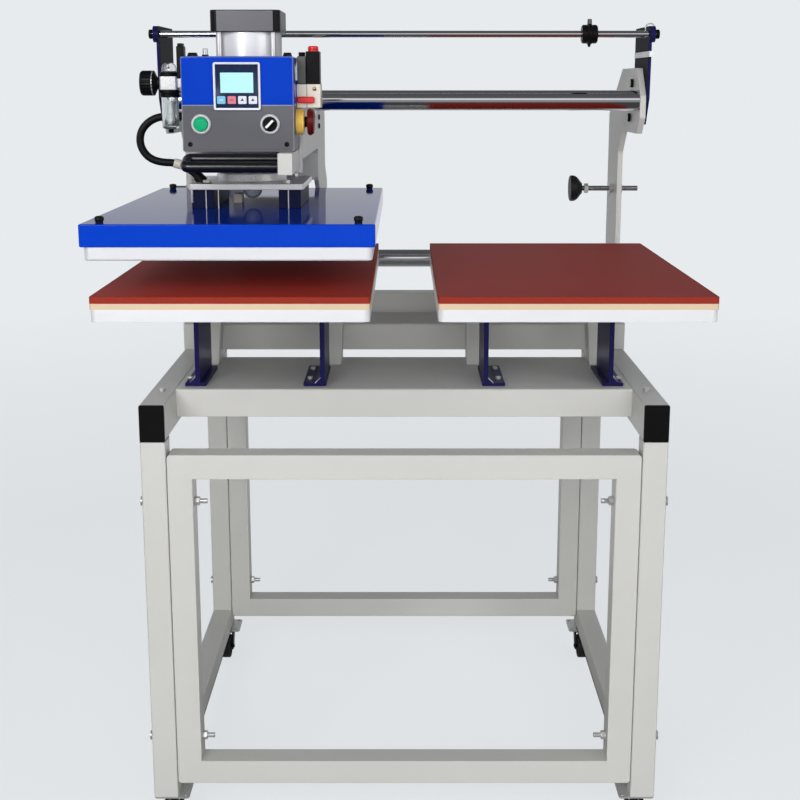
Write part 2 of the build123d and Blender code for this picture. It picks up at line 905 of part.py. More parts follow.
def carriage_side():
    front = cross_plate_y
    back = back_plate_y
    rear = lower_rail_y - carriage_rear_ahead
    foot_half = bearing_flange_r + carriage_plate + foot_wall
    foot_front = lower_rail_y - foot_half
    foot_rear = lower_rail_y + foot_half
    foot_bottom = lower_rail_height - foot_below_rail
    points = [(front, carriage_top), (front, arm_bottom), (back, arm_bottom), (back, back_plate_bottom),
              (back + web_run, back_plate_bottom - web_drop),
              (foot_front, lower_rail_height + foot_above_rail), (foot_front, foot_bottom),
              (foot_rear, foot_bottom), (foot_rear, stop_height + foot_shoulder_rise),
              (rear, stop_height + foot_neck_rise), (rear, base_plate_top),
              (rear - carriage_rear_run, carriage_top)]
    outer = head_x + carriage_half
    return plate_yz(points, carriage_corner, outer - carriage_plate, outer)


def carriage_frame():
    right = carriage_side()
    inner = carriage_half - carriage_plate
    left = Pos(carriage_plate - 2 * carriage_half, 0, 0) * right
    frame = right + left
    x0 = head_x - inner
    x1 = head_x + inner
    front = cross_plate_y
    frame += block(head_x - carriage_half, head_x + carriage_half, front - carriage_plate, front,
                   upper_rail_height - cross_plate_below_rail, carriage_top)
    base = block(x0, x1, front, front + base_plate_depth, base_plate_bottom, base_plate_top)
    base -= round_z(rod_r + base_plate_hole_gap, base_plate_bottom - past, base_plate_top + past, head_x,
                    cover_centre_y)
    frame += base
    frame += block(x0, x1, back_plate_y, back_plate_y + carriage_plate, back_plate_bottom,
                   carriage_top - back_plate_top_gap)
    foot_plate_y = lower_rail_y + bearing_flange_r
    frame += block(x0, x1, foot_plate_y, foot_plate_y + carriage_plate,
                   lower_rail_height - foot_plate_below, lower_rail_height + foot_plate_above)
    for x, y in guide_places():
        frame -= round_z(guide_rod_r + guide_bush_wall, base_plate_bottom - past, base_plate_top + past,
                         x, y)
    for y, z in ((upper_rail_y, upper_rail_height), (lower_rail_y, lower_rail_height)):
        frame -= round_x(bearing_r, head_x - carriage_half - past, head_x + carriage_half + past, y, z)
    return group([frame + handle_mount(), handle_tube(handle_core_r)])


def guide_places():
    y = cover_centre_y + guide_back
    return [(head_x - guide_spread, y), (head_x + guide_spread, y)]


def linear_bearing(side, y, z):
    outer = head_x + side * carriage_half
    inner = head_x + side * (carriage_half - carriage_plate)
    end = outer - side * bearing_length
    bearing = round_x(bearing_r, outer, end, y, z)
    bearing += round_x(bearing_flange_r, inner, inner - side * bearing_flange, y, z)
    return bearing - round_x(rail_r + running_clearance, outer + side * past, end - side * past, y, z)


def guide_bush(x, y):
    bush_top = base_plate_bottom + guide_bush_length
    bush = round_z(guide_rod_r + guide_bush_wall, base_plate_bottom, bush_top, x, y)
    return bush - round_z(guide_rod_r + running_clearance, 0, base_plate_top + guide_bush_length, x, y)


def bearings():
    pieces = [guide_bush(x, y) for x, y in guide_places()]
    for side in (-1, 1):
        pieces.append(linear_bearing(side, upper_rail_y, upper_rail_height))
        pieces.append(linear_bearing(side, lower_rail_y, lower_rail_height))
    return group(pieces)


# Cylinder

def cylinder_cap(z0, pockets_up):
    half = cap_side / 2
    y = cover_centre_y
    top = z0 + cap_height
    cap = block(head_x - half, head_x + half, y - half, y + half, z0, top)
    cap = fillet(cap.edges().filter_by(Axis.Z), cap_corner)
    if pockets_up:
        for dx, dy in tie_rod_corners():
            cap -= round_z(pocket_r, top - pocket_depth, top + past, head_x + dx, y + dy)
    return cap


def tie_rod_corners():
    return [(sx * tie_rod_offset, sy * tie_rod_offset) for sx in (-1, 1) for sy in (-1, 1)]


def cylinder_caps():
    lower = cylinder_cap(base_plate_top, False)
    lower -= round_z(rod_r + rod_hole_gap, base_plate_top - past, barrel_base + past, head_x,
                     cover_centre_y)
    return group([lower, cylinder_cap(barrel_top, True)])


def cylinder_barrel():
    barrel = round_z(barrel_r, barrel_base, barrel_top, head_x, cover_centre_y)
    return barrel - round_z(barrel_r - barrel_wall, barrel_base, barrel_top, head_x, cover_centre_y)


def tie_rods():
    rods = []
    for dx, dy in tie_rod_corners():
        rods.append(round_z(tie_rod_r, barrel_base, barrel_top, head_x + dx, cover_centre_y + dy))
        screw_bottom = barrel_top + cap_height - pocket_depth
        rods.append(round_z(pocket_r - cap_screw_gap, screw_bottom, screw_bottom + cap_screw_height,
                            head_x + dx, cover_centre_y + dy))
    return group(rods)


def press_rods():
    piston_bottom = piston_top - piston_height
    piston = round_z(barrel_r - barrel_wall - piston_gap, piston_bottom, piston_top, head_x, cover_centre_y)
    rod = piston + round_z(rod_r, hub_top, piston_bottom, head_x, cover_centre_y)
    rods = [rod]
    guide_top = base_plate_bottom + guide_bush_length + press_stroke + guide_rod_end
    for x, y in guide_places():
        guide_rod = round_z(guide_rod_r, press_plate_top, guide_top, x, y)
        rods.append(chamfer(guide_rod.edges(), guide_rod_chamfer))
    return group(rods)


# Press head

def press_plate():
    x0 = head_x - press_plate_width / 2
    y0 = press_plate_front_y
    plate = block(x0, x0 + press_plate_width, y0, y0 + press_plate_depth, bar_top, press_plate_top)
    plate = fillet(plate.edges().filter_by(Axis.Z), press_plate_corner)
    hub = round_z(hub_r, press_plate_top, hub_top, head_x, cover_centre_y)
    plate += fillet(hub.edges().group_by(Axis.Z)[-1], hub_edge)
    plate += cable_gland()
    # the rounded nut under the plate is half a ball
    dome = Pos(head_x, cover_centre_y, bar_top) * Sphere(dome_r)
    keep = block(x0, x0 + press_plate_width, y0, y0 + press_plate_depth, bar_top - dome_r, bar_top)
    return plate + (dome & keep)


def plate_screw_places():
    places = []
    for dx in (-plate_screw_x, plate_screw_x):
        for dy in (-plate_screw_y, plate_screw_y):
            places.append((head_x + dx, cover_centre_y + dy))
    return places


def hanger_bars():
    bars = []
    y0 = press_plate_front_y + bar_end_gap
    y1 = press_plate_front_y + press_plate_depth - bar_end_gap
    for side in (-1, 1):
        x = head_x + side * bar_offset
        bars.append(block(x - bar_width / 2, x + bar_width / 2, y0, y1, cover_top, bar_top))
    for x, y in plate_screw_places():
        bars.append(hex_z(plate_screw_half, press_plate_top, press_plate_top + plate_screw_head, x, y))
    return group(bars)


def platen_cover():
    cover = slab(cover_width, cover_depth, heater_top, cover_top, cover_corner)
    cover = fillet(cover.edges().group_by(Axis.Z)[-1], cover_sheet)
    inner_width = cover_width - 2 * cover_sheet
    inner_depth = cover_depth - 2 * cover_sheet
    cover -= slab(inner_width, inner_depth, heater_top, cover_top - cover_sheet, cover_inner_corner)
    x0 = head_x - terminal_side - terminal_width / 2
    y0 = cover_centre_y + terminal_back
    return cover + block(x0, x0 + terminal_width, y0, y0 + terminal_depth, cover_top,
                         cover_top + terminal_height)


def heater_plate():
    width = cover_width - 2 * heater_side_gap
    plate = slab(width, cover_depth - 2 * heater_side_gap, heater_bottom, heater_top, platen_corner)
    return chamfer(plate.edges().group_by(Axis.Z)[0], heater_chamfer)


def insulation():
    width = cover_width - 2 * cover_sheet - 2 * insulation_gap
    depth = cover_depth - 2 * cover_sheet - 2 * insulation_gap
    return slab(width, depth, heater_top, heater_top + insulation_thick, insulation_corner)


def corner_knobs():
    knobs = []
    for sx in (-1, 1):
        for y in (front_y + corner_knob_in_y, front_y + cover_depth - corner_knob_in_y):
            x = head_x + sx * (cover_width / 2 - corner_knob_in_x)
            knob = round_z(corner_knob_r, cover_top, cover_top + corner_knob_height, x, y)
            knobs.append(fillet(knob.edges().group_by(Axis.Z)[-1], corner_knob_edge))
    return group(knobs)


# Control box

def control_box():
    rear = box_face_y + box_depth
    box = block(box_left, box_right, box_face_y, rear, box_bottom, box_top)
    box = fillet(box.edges().group_by(Axis.Y)[0], box_corner)
    box -= block(box_left + box_sheet, box_right - box_sheet, box_face_y + box_sheet, rear + past,
                 box_bottom + box_sheet, box_top - box_sheet)
    front = box_face_y - past
    behind = box_face_y + box_sheet + past
    box -= controller_block(controller_side / 2 - box_window_inset, front, behind)
    for side in (start_button_side, selector_side):
        box -= round_y(bezel_hole_r, front, behind, head_x + side, button_height)
    return box - round_x(stop_stem_r + part_gap, box_right - box_sheet - past, box_right + past,
                         stop_button_y, stop_button_height)


def controller_block(half, y0, y1):
    return block(head_x - half, head_x + half, y0, y1, controller_height - half, controller_height + half)


def lens_block(y0, y1):
    low = controller_height + lens_up - lens_height / 2
    return block(head_x - lens_width / 2, head_x + lens_width / 2, y0, y1, low, low + lens_height)


def key_block(index, gap, y0, y1):
    x = head_x + (index - (key_count - 1) / 2) * key_pitch
    z = controller_height - key_down
    half = key_width / 2 + gap
    high = key_height / 2 + gap
    return block(x - half, x + half, y0, y1, z - high, z + high)


def controller_case():
    face = box_face_y - controller_proud
    floor = face + controller_recess
    case = controller_block(controller_side / 2, face, box_face_y)
    case = fillet(case.edges().filter_by(Axis.Y), controller_corner)
    case -= controller_block(controller_window, face - past, floor)
    case += controller_block(controller_side / 2 - controller_tail_inset, box_face_y,
                             box_face_y + controller_tail)
    case -= lens_block(face, floor + lens_thick)
    for index in range(key_count):
        case -= key_block(index, key_side_gap, face, floor + key_depth + key_travel + part_gap)
    return case


def controller_lens():
    floor = box_face_y - controller_proud + controller_recess
    return lens_block(floor, floor + lens_thick)


def controller_key(index):
    floor = box_face_y - controller_proud + controller_recess
    key = key_block(index, 0, floor - key_proud, floor + key_depth)
    return fillet(key.edges().group_by(Axis.Y)[0], key_edge)


def bezel(x):
    ring = round_y(bezel_r, box_face_y - bezel_thick, box_face_y, x, button_height)
    ring = fillet(ring.edges().group_by(Axis.Y)[0], bezel_edge)
    front = box_face_y - bezel_thick - past
    return ring - round_y(bezel_hole_r, front, box_face_y + past, x, button_height)


def stop_collar():
    x1 = box_right + stop_collar_length
    collar = round_x(stop_collar_r, box_right, x1, stop_button_y, stop_button_height)
    collar = chamfer(collar.edges().group_by(Axis.X)[-1], stop_collar_chamfer)
    return collar - round_x(stop_stem_r + part_gap, box_right - past, x1 + past, stop_button_y,
                            stop_button_height)


def button_bezels():
    return group([bezel(head_x + start_button_side), bezel(head_x + selector_side), stop_collar()])


def start_button():
    x = head_x + start_button_side
    front = box_face_y - bezel_thick - button_proud
    button = round_y(button_r, front, front + button_travel + button_stem, x, button_height)
    return fillet(button.edges().group_by(Axis.Y)[0], button_edge)


def selector_knob():
    x = head_x + selector_side
    front = box_face_y - selector_proud
    knob = round_y(button_r, front, box_face_y + button_stem, x, button_height)
    grip = Box(selector_grip, selector_grip_height, 2 * (button_r - selector_grip_gap))
    # the grip rests turned 45 degrees, as the photo shows
    return knob + Pos(x, front - selector_grip_height / 2, button_height) * Rot(0, 45, 0) * grip


def e_stop_button():
    x0 = box_right + stop_collar_length + stop_travel + part_gap
    cap = round_x(stop_cap_r, x0, x0 + stop_cap_length, stop_button_y, stop_button_height)
    cap = fillet(cap.edges().group_by(Axis.X)[-1], stop_cap_edge)
    return cap + round_x(stop_stem_r, box_right - box_sheet, x0, stop_button_y, stop_button_height)


# Valve and air unit

def valve_body():
    y0 = box_face_y + valve_back
    x1 = box_right + valve_width
    body = block(box_right, x1, y0, y0 + valve_depth, valve_bottom, valve_bottom + valve_height)
    body = fillet(body.edges().filter_by(Axis.Z), valve_corner)
    return body + round_y(screw_r, y0 - screw_proud, y0, x1 - screw_in, valve_bottom + screw_rise)


def valve_coil():
    y0 = box_face_y + valve_back + coil_depth_margin
    y1 = y0 + valve_depth - 2 * coil_depth_margin
    middle = (y0 + y1) / 2
    base = valve_bottom + valve_height
    x1 = box_right + valve_width - coil_side_margin
    x0 = x1 - coil_width
    coil = block(x0, x1, y0, y1, base, base + coil_height)
    coil = fillet(coil.edges().filter_by(Axis.Z), coil_corner)
    coil_top = base + coil_height
    coil += round_z(coil_cap_r, coil_top, coil_top + coil_cap_height, (x0 + x1) / 2, middle)
    plug_top = base + plug_height
    coil += block(x0 - plug_width, x0, y0 + plug_depth_margin, y1 - plug_depth_margin, base, plug_top)
    return coil + round_z(gland_r, plug_top, plug_top + gland_height, x0 - plug_width / 2, middle)


def air_regulator():
    x = regulator_x
    y = box_face_y + regulator_back
    z = regulator_height
    half = regulator_side / 2
    top = z + regulator_body_height / 2
    bottom = z - regulator_body_height / 2
    body = block(x - half, x + half, y - half, y + half, bottom, top)
    body = fillet(body.edges().filter_by(Axis.Z), regulator_corner)
    body += round_z(ring_r, bottom - ring_height, bottom, x, y)
    window = round_z(dome_window_r, top, top + dome_window_height, x, y)
    body += fillet(window.edges().group_by(Axis.Z)[-1], dome_window_edge)
    body += round_x(knob_neck_r, x - half - knob_neck, x - half, y, z)
    return body + block(x + half, box_left, y - regulator_link_half_depth, y + regulator_link_half_depth,
                        z - regulator_link_half_height, z + regulator_link_half_height)


def regulator_knob():
    x1 = regulator_x - regulator_side / 2 - knob_neck - part_gap
    x0 = x1 - knob_length
    y = box_face_y + regulator_back
    knob = fillet(round_x(knob_r, x0, x1, y, regulator_height).edges(), knob_edge)
    reach = knob_r + knob_flute_out
    for step in range(knob_flutes):
        angle = 2 * pi * step / knob_flutes
        knob -= round_x(knob_flute_r, x0 - past, x1 - knob_shoulder, y + reach * cos(angle),
                        regulator_height + reach * sin(angle))
    return knob


def filter_bowl():
    x = regulator_x
    y = box_face_y + regulator_back
    top = regulator_height - regulator_body_height / 2 - ring_height
    bottom = top - bowl_length
    bowl = round_z(bowl_r, bottom, top, x, y)
    bowl = fillet(bowl.edges().group_by(Axis.Z)[0], bowl_floor)
    bowl -= round_z(bowl_r - bowl_wall, bottom + bowl_floor, top + past, x, y)
    return bowl + round_z(drain_r, bottom - drain_length, bottom, x, y)


def air_fittings():
    y = box_face_y + box_depth / 2
    pieces = []
    for side, radius, tall in fittings:
        x = head_x + side
        stem = round_z(radius, box_top, box_top + tall, x, y)
        pieces.append(stem + hex_z(radius + fitting_nut_more, box_top, box_top + fitting_nut_height, x, y))
    return group(pieces)


# Handle and cable

def handle_tube(radius):
    x0 = head_x + handle_left
    x1 = head_x + handle_right
    y0 = handle_y
    y1 = y0 + handle_run
    z0 = handle_height
    z1 = handle_height + handle_rise
    path = FilletPolyline((x1, y0, z0), (x0, y0, z0), (x0, y1, z1), (x1, y1, z1), radius=handle_bend)
    return sweep(Plane(origin=(x1, y0, z0), z_dir=(-1, 0, 0)) * Circle(radius), path=path)


def handle_mount():
    x0 = head_x + handle_right
    y0 = handle_y - handle_mount_ahead
    return block(x0, x0 + handle_mount_width, y0, cross_plate_y - carriage_plate,
                 handle_height - handle_mount_drop, box_bottom)


def handle_grip():
    return handle_tube(handle_r) - handle_tube(handle_core_r)


def gland_axis():
    return Vector(-1, 0, 1).normalized()


def gland_mouth():
    foot = Vector(head_x - gland_side, press_plate_front_y + gland_in, press_plate_top)
    return foot + gland_axis() * gland_length


def cable_gland():
    # a slanted gland, cut off level with the plate's top
    start = gland_mouth() - gland_axis() * 2 * gland_length
    gland = Plane(origin=start, z_dir=gland_axis()) * extrude(Circle(gland_body_r), 2 * gland_length)
    reach = 2 * gland_length
    y = press_plate_front_y + gland_in
    x = head_x - gland_side
    return gland & block(x - reach, x + reach, y - reach, y + reach, press_plate_top,
                         press_plate_top + reach)


def cable_route():
    start = Vector(head_x - carriage_half, cross_plate_y + cable_start_inset,
                   base_plate_top + cable_start_rise)
    mouth = gland_mouth()
    last = mouth + gland_axis() * cable_last_run
    bends = [tuple(start + Vector(*bend)) for bend in cable_bends]
    return [tuple(start), *bends, tuple(last), tuple(mouth)]


def route_radii(points):
    runs = [Vector(*points[i + 1]) - Vector(*points[i]) for i in range(len(points) - 1)]
    radii = []
    for before, after in zip(runs, runs[1:]):
        turn = radians(before.get_angle(after))
        radii.append(0.45 * min(before.length, after.length) / tan(turn / 2))
    return radii


def heater_cable():
    points = cable_route()
    radii = route_radii(points)
    print("cable bend radii", [round(radius) for radius in radii])
    path = FilletPolyline(*points, radius=radii)
    print("cable length", round(path.length))
    start = Plane(origin=points[0], z_dir=Vector(*points[1]) - Vector(*points[0]))
    cable = sweep(start * Circle(cable_r), path=path)
    share = cable.volume / (pi * cable_r ** 2 * path.length)
    print("cable volume over section times length", round(share, 4))
    return cable


os.makedirs("parts", exist_ok=True)

right_side = side_frame()
save(group([right_side, mirrored(right_side)]), "side_frames")
save(group([leg_frame(stand_front), leg_frame(stand_rear - tube)]), "leg_frames")
save(tube_end_caps(), "tube_end_caps")
save(frame_bolts(), "frame_bolts")
save(bed(), "bed")
save(rear_beams(), "rear_beams")
save(platen_supports(), "platen_supports")
save(platen_brackets(), "platen_brackets")
for node, low, high, corner in (("lower_platens", platen_bottom, platen_top, platen_corner),
                                ("foam_pads", platen_top, foam_top, pad_corner),
                                ("silicone_pads", foam_top, pad_top, pad_corner)):
    save(station_pieces(lambda: slab(platen_width, platen_depth, low, high, corner)), node)
save(group([end_plate(), mirrored(end_plate())]), "end_plates")
save(chrome_rails(), "chrome_rails")
save(cable_rod(), "cable_rod")
save(group([rod_bracket(), mirrored(rod_bracket())]), "rod_brackets")
save(group([caster_plate_piece(x, y) for x, y in caster_places().values()]), "caster_plates")
for place, (x, y) in caster_places().items():
    save(caster_fork(x, y), f"{place}_caster_fork")
    save(caster_wheel(x, y), f"{place}_caster_wheel")
for name, side in (("left", -1), ("right", 1)):
    save(stop_screw(side), f"{name}_stop_screw")
    save(stop_bumper(side), f"{name}_stop_bumper")
save(cable_trolley(), "cable_trolley")

save(carriage_frame(), "carriage_frame")
save(bearings(), "linear_bearings")
save(cylinder_caps(), "cylinder_caps")
save(cylinder_barrel(), "cylinder_barrel")
save(tie_rods(), "tie_rods")
save(control_box(), "control_box")
save(controller_case(), "controller_case")
save(controller_lens(), "controller_lens")
for index in range(key_count):
    save(controller_key(index), f"controller_key_{index + 1}")
save(button_bezels(), "button_bezels")
save(start_button(), "start_button")
save(selector_knob(), "selector_knob")
save(e_stop_button(), "e_stop_button")
save(valve_body(), "valve_body")
save(valve_coil(), "valve_coil")
save(air_regulator(), "air_regulator")
save(filter_bowl(), "filter_bowl")
save(regulator_knob(), "regulator_knob")
save(air_fittings(), "air_fittings")
save(handle_grip(), "handle_grip")
save(heater_cable(), "heater_cable")

save(press_rods(), "press_rods")
save(press_plate(), "press_plate")
save(hanger_bars(), "hanger_bars")
save(platen_cover(), "platen_cover")
save(heater_plate(), "heater_plate")
save(insulation(), "insulation")
save(corner_knobs(), "corner_knobs")
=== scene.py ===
import bpy
import bmesh
from math import cos, pi, radians, sin
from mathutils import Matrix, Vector


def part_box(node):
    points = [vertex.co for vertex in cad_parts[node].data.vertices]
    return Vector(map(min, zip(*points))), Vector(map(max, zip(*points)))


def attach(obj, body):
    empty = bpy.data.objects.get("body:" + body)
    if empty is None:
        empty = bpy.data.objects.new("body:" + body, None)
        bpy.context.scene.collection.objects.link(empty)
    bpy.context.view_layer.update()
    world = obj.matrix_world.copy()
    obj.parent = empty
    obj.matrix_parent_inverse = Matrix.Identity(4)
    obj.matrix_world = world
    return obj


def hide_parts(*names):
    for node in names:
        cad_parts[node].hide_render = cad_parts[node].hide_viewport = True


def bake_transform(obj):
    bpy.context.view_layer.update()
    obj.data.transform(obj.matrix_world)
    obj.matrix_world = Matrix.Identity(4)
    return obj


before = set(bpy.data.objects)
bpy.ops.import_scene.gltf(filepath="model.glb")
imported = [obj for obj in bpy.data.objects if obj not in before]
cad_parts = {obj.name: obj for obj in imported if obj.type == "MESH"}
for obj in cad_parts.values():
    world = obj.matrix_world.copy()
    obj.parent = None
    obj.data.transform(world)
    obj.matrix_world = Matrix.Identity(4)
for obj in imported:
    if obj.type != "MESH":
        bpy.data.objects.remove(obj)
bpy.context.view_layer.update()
print("frame loaded,", len(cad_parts), "nodes")

# Small tools for modelling

upward, toRight, toFront = (0, 0, 1), (1, 0, 0), (0, -1, 0)


def deselectAll():
    if bpy.context.object and bpy.context.object.mode != "OBJECT":
        bpy.ops.object.mode_set(mode="OBJECT")
    bpy.ops.object.select_all(action="DESELECT")


def setAll(thing, **values):
    for name, value in values.items():
        setattr(thing, name, value)


def pick(piece):
    deselectAll()
    piece.select_set(True)
    bpy.context.view_layer.objects.active = piece


def editAll(piece):
    pick(piece)
    bpy.ops.object.mode_set(mode="EDIT")
    bpy.ops.mesh.select_all(action="SELECT")


def leaveEdit():
    bpy.ops.object.mode_set(mode="OBJECT")


def fixPlace(piece):
    pick(piece)
    bpy.ops.object.transform_apply(location=True, rotation=True, scale=True)


def paint(piece, finish):
    piece.data.materials.clear()
    piece.data.materials.append(finishes[finish])
    return piece


def paintWhere(piece, finish, test):
    piece.data.materials.append(finishes[finish])
    index = len(piece.data.materials) - 1
    for face in piece.data.polygons:
        if test(face.center, face.normal):
            face.material_index = index
    return piece


def boxOf(node):
    low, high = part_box(node)
    return low, high, [(a + b) / 2 for a, b in zip(low, high)]


def addBlock(finish, low, high, name="block"):
    deselectAll()
    low, high = Vector(low), Vector(high)
    bpy.ops.mesh.primitive_cube_add(size=1, location=(low + high) / 2)
    piece = bpy.context.object
    piece.name = name
    piece.scale = high - low
    fixPlace(piece)
    return paint(piece, finish)


def addRound(finish, radius, start, end, sides=64):
    deselectAll()
    start, end = Vector(start), Vector(end)
    run = end - start
    turn = run.to_track_quat("Z", "Y").to_euler()
    bpy.ops.mesh.primitive_cylinder_add(vertices=sides, radius=radius, depth=run.length,
        location=(start + end) / 2, rotation=turn)
    piece = bpy.context.object
    fixPlace(piece)
    return paint(piece, finish)


def addObject(name, data):
    piece = bpy.data.objects.new(name, data)
    bpy.context.collection.objects.link(piece)
    return piece


def addSpun(finish, profile, foot, axis, steps=72, name="spun"):
    # profile holds (radius, distance along the axis) pairs
    foot, axis = Vector(foot), Vector(axis).normalized()
    side = axis.orthogonal().normalized()
    mesh = bpy.data.meshes.new(name)
    points = [foot + side * radius + axis * along for radius, along in profile]
    mesh.from_pydata(points, [(i, i + 1) for i in range(len(points) - 1)], [])
    piece = addObject(name, mesh)
    editAll(piece)
    bpy.ops.mesh.spin(steps=steps, angle=2 * pi, center=foot, axis=axis)
    bpy.ops.mesh.select_all(action="SELECT")
    bpy.ops.mesh.remove_doubles(threshold=2e-6)
    bpy.ops.mesh.normals_make_consistent(inside=False)
    leaveEdit()
    return smooth(paint(piece, finish))


def smooth(piece, angle=32):
    pick(piece)
    bpy.ops.object.shade_smooth_by_angle(angle=radians(angle))
    return piece


def applyModifier(piece, kind, **values):
    pick(piece)
    modifier = piece.modifiers.new(kind.title(), kind)
    setAll(modifier, **values)
    bpy.ops.object.modifier_apply(modifier=modifier.name)
    return piece


def roundEdges(piece, width, segments=3, angle=30):
    applyModifier(piece, "BEVEL", width=width, segments=segments, limit_method="ANGLE",
        angle_limit=radians(angle))
    smooth(piece)
    return applyModifier(piece, "WEIGHTED_NORMAL", keep_sharp=True)


def bevelSome(piece, test, width, segments):
    # the piece is in edit mode
    bpy.ops.mesh.select_mode(type="EDGE")
    bpy.ops.mesh.select_all(action="DESELECT")
    made = bmesh.from_edit_mesh(piece.data)
    for edge in made.edges:
        edge.select = test(edge)
    bmesh.update_edit_mesh(piece.data)
    bpy.ops.mesh.bevel(offset=width, segments=segments, affect="EDGES")
    bpy.ops.mesh.select_mode(type="FACE")
    leaveEdit()
    return piece


def bevelUpright(piece, width, segments, axis):
    # rounds only the edges that run along one axis
    editAll(piece)
    return bevelSome(piece, lambda edge: abs((edge.verts[1].co - edge.verts[0].co).normalized()[axis]) > 0.99,
        width, segments)


def addCase(finish, low, high, corner, steps, edge, segments=3, axis=2):
    # a block with round corners along one axis, and softened edges
    case = bevelUpright(addBlock(finish, low, high), corner, steps, axis)
    return roundEdges(case, edge, segments, 50)


def joinAs(name, parts):
    deselectAll()
    for part in parts:
        part.select_set(True)
    bpy.context.view_layer.objects.active = parts[0]
    if len(parts) > 1:
        bpy.ops.object.join()
    piece = bpy.context.view_layer.objects.active
    piece.name = name
    return piece


def softCopy(node, finish, width, longEdge):
    # the node's own shape, with its long outer edges rounded
    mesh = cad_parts[node].data.copy()
    mesh.materials.clear()
    piece = addObject(node + "_shape", mesh)
    editAll(piece)
    bpy.ops.mesh.remove_doubles(threshold=1e-5)
    bpy.ops.mesh.dissolve_limited(angle_limit=radians(1))

    def isOuter(edge):
        sharp = len(edge.link_faces) == 2 and edge.calc_face_angle(0) > radians(35)
        return sharp and edge.is_convex and edge.calc_length() > longEdge

    smooth(bevelSome(piece, isOuter, width, 3))
    return paint(applyModifier(piece, "WEIGHTED_NORMAL", keep_sharp=True), finish)


def soften(node, finish, width, slotName, body, longEdge=0.012):
    piece = softCopy(node, finish, width, longEdge)
    setPiece(piece, body, slotName, node)
    return piece


def setPiece(piece, body, slotName, *nodes):
    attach(piece, body)
    if nodes:
        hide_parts(*nodes)


def setParts(node, parts, slotName, body="carriage"):
    setPiece(joinAs(node + "_shape", parts), body, slotName, node)


# Shared surface effects

def newGroup(name, inputs, outputs):
    group = bpy.data.node_groups.new(name, "ShaderNodeTree")
    for label, kind, value in inputs:
        socket = group.interface.new_socket(name=label, in_out="INPUT", socket_type="NodeSocket" + kind)
        socket.default_value = value
    for label in outputs:
        group.interface.new_socket(name=label, in_out="OUTPUT", socket_type="NodeSocketFloat")
    return group, group.nodes.new("NodeGroupInput"), group.nodes.new("NodeGroupOutput")


def setInputs(node, **values):
    for name, value in values.items():
        node.inputs[name.replace("_", " ")].default_value = value


def addNode(tree, kind, links=(), **values):
    node = tree.nodes.new("ShaderNode" + kind)
    for name, value in values.items():
        if hasattr(node, name):
            setattr(node, name, value)
        else:
            setInputs(node, **{name: value})
    for socket, source in links:
        tree.links.new(source, node.inputs[socket])
    return node


def calculate(tree, operation, *sources):
    return addNode(tree, "Math", enumerate(sources), operation=operation).outputs[0]


def mapRange(tree, source, start, end, low=0.0, high=1.0):
    return addNode(tree, "MapRange", [("Value", source)], From_Min=start, From_Max=end, To_Min=low,
        To_Max=high).outputs[0]


def mixColour(tree, amount, first, second):
    # the second is a plain colour, and the first may come from another node
    mix = addNode(tree, "Mix", [(0, amount)], data_type="RGBA")
    if isinstance(first, tuple):
        mix.inputs[6].default_value = first
    else:
        tree.links.new(first, mix.inputs[6])
    mix.inputs[7].default_value = second
    return mix.outputs[2]


def mixShader(tree, amount, first, second):
    return addNode(tree, "MixShader", [(0, amount), (1, first), (2, second)]).outputs[0]


def makeGrainGroup():
    # even fine grain, with a slow drift in tone
    group, start, end = newGroup("grain", [("Size", "Float", 400.0), ("Stretch", "Vector", (1, 1, 1))],
        ["Fine", "Drift"])
    place = addNode(group, "TexCoord").outputs["Object"]
    spread = addNode(group, "VectorMath", [(0, place), (1, start.outputs["Stretch"])], operation="MULTIPLY")
    fine = addNode(group, "TexNoise", [("Vector", spread.outputs[0]), ("Scale", start.outputs["Size"])],
        Detail=4.0, Roughness=0.6)
    drift = addNode(group, "TexNoise", [("Vector", place)], Scale=4.0, Detail=3.0)
    group.links.new(fine.outputs["Fac"], end.inputs["Fine"])
    group.links.new(drift.outputs["Fac"], end.inputs["Drift"])
    return group


def makeScuffGroup():
    # a few thin marks and rubbed patches
    group, start, end = newGroup("scuffs", [("Amount", "Float", 0.3)], ["Mask"])
    place = addNode(group, "TexCoord").outputs["Object"]
    bend = addNode(group, "TexNoise", [("Vector", place)], Scale=9.0, Detail=2.0)
    moved = addNode(group, "VectorMath", [(0, place), (1, bend.outputs["Color"])], operation="ADD")
    lines = addNode(group, "TexVoronoi", [("Vector", moved.outputs[0])], feature="DISTANCE_TO_EDGE",
        Scale=26.0)
    thin = mapRange(group, lines.outputs["Distance"], 0.0, 0.012, 1.0, 0.0)
    patch = addNode(group, "TexNoise", [("Vector", place)], Scale=14.0, Detail=5.0)
    where = mapRange(group, patch.outputs["Fac"], 0.56, 0.72)
    both = calculate(group, "MULTIPLY", thin, where)
    group.links.new(calculate(group, "MULTIPLY", both, start.outputs["Amount"]), end.inputs["Mask"])
    return group


def makeRibGroup():
    # even ribs or threads across one direction
    group, start, end = newGroup("ribs", [("Direction", "Vector", (0, 0, 1)), ("Pitch", "Float", 0.0015)],
        ["Height"])
    place = addNode(group, "TexCoord").outputs["Object"]
    along = addNode(group, "VectorMath", [(0, place), (1, start.outputs["Direction"])],
        operation="DOT_PRODUCT")
    turns = calculate(group, "DIVIDE", along.outputs["Value"], start.outputs["Pitch"])
    rise = addNode(group, "Math", [(0, calculate(group, "FRACT", turns))], operation="PINGPONG")
    rise.inputs[1].default_value = 0.5
    group.links.new(rise.outputs[0], end.inputs["Height"])
    return group


grainGroup = makeGrainGroup()
scuffGroup = makeScuffGroup()
ribGroup = makeRibGroup()


def useGroup(tree, group, **values):
    node = addNode(tree, "Group", node_tree=group)
    setInputs(node, **values)
    return node.outputs


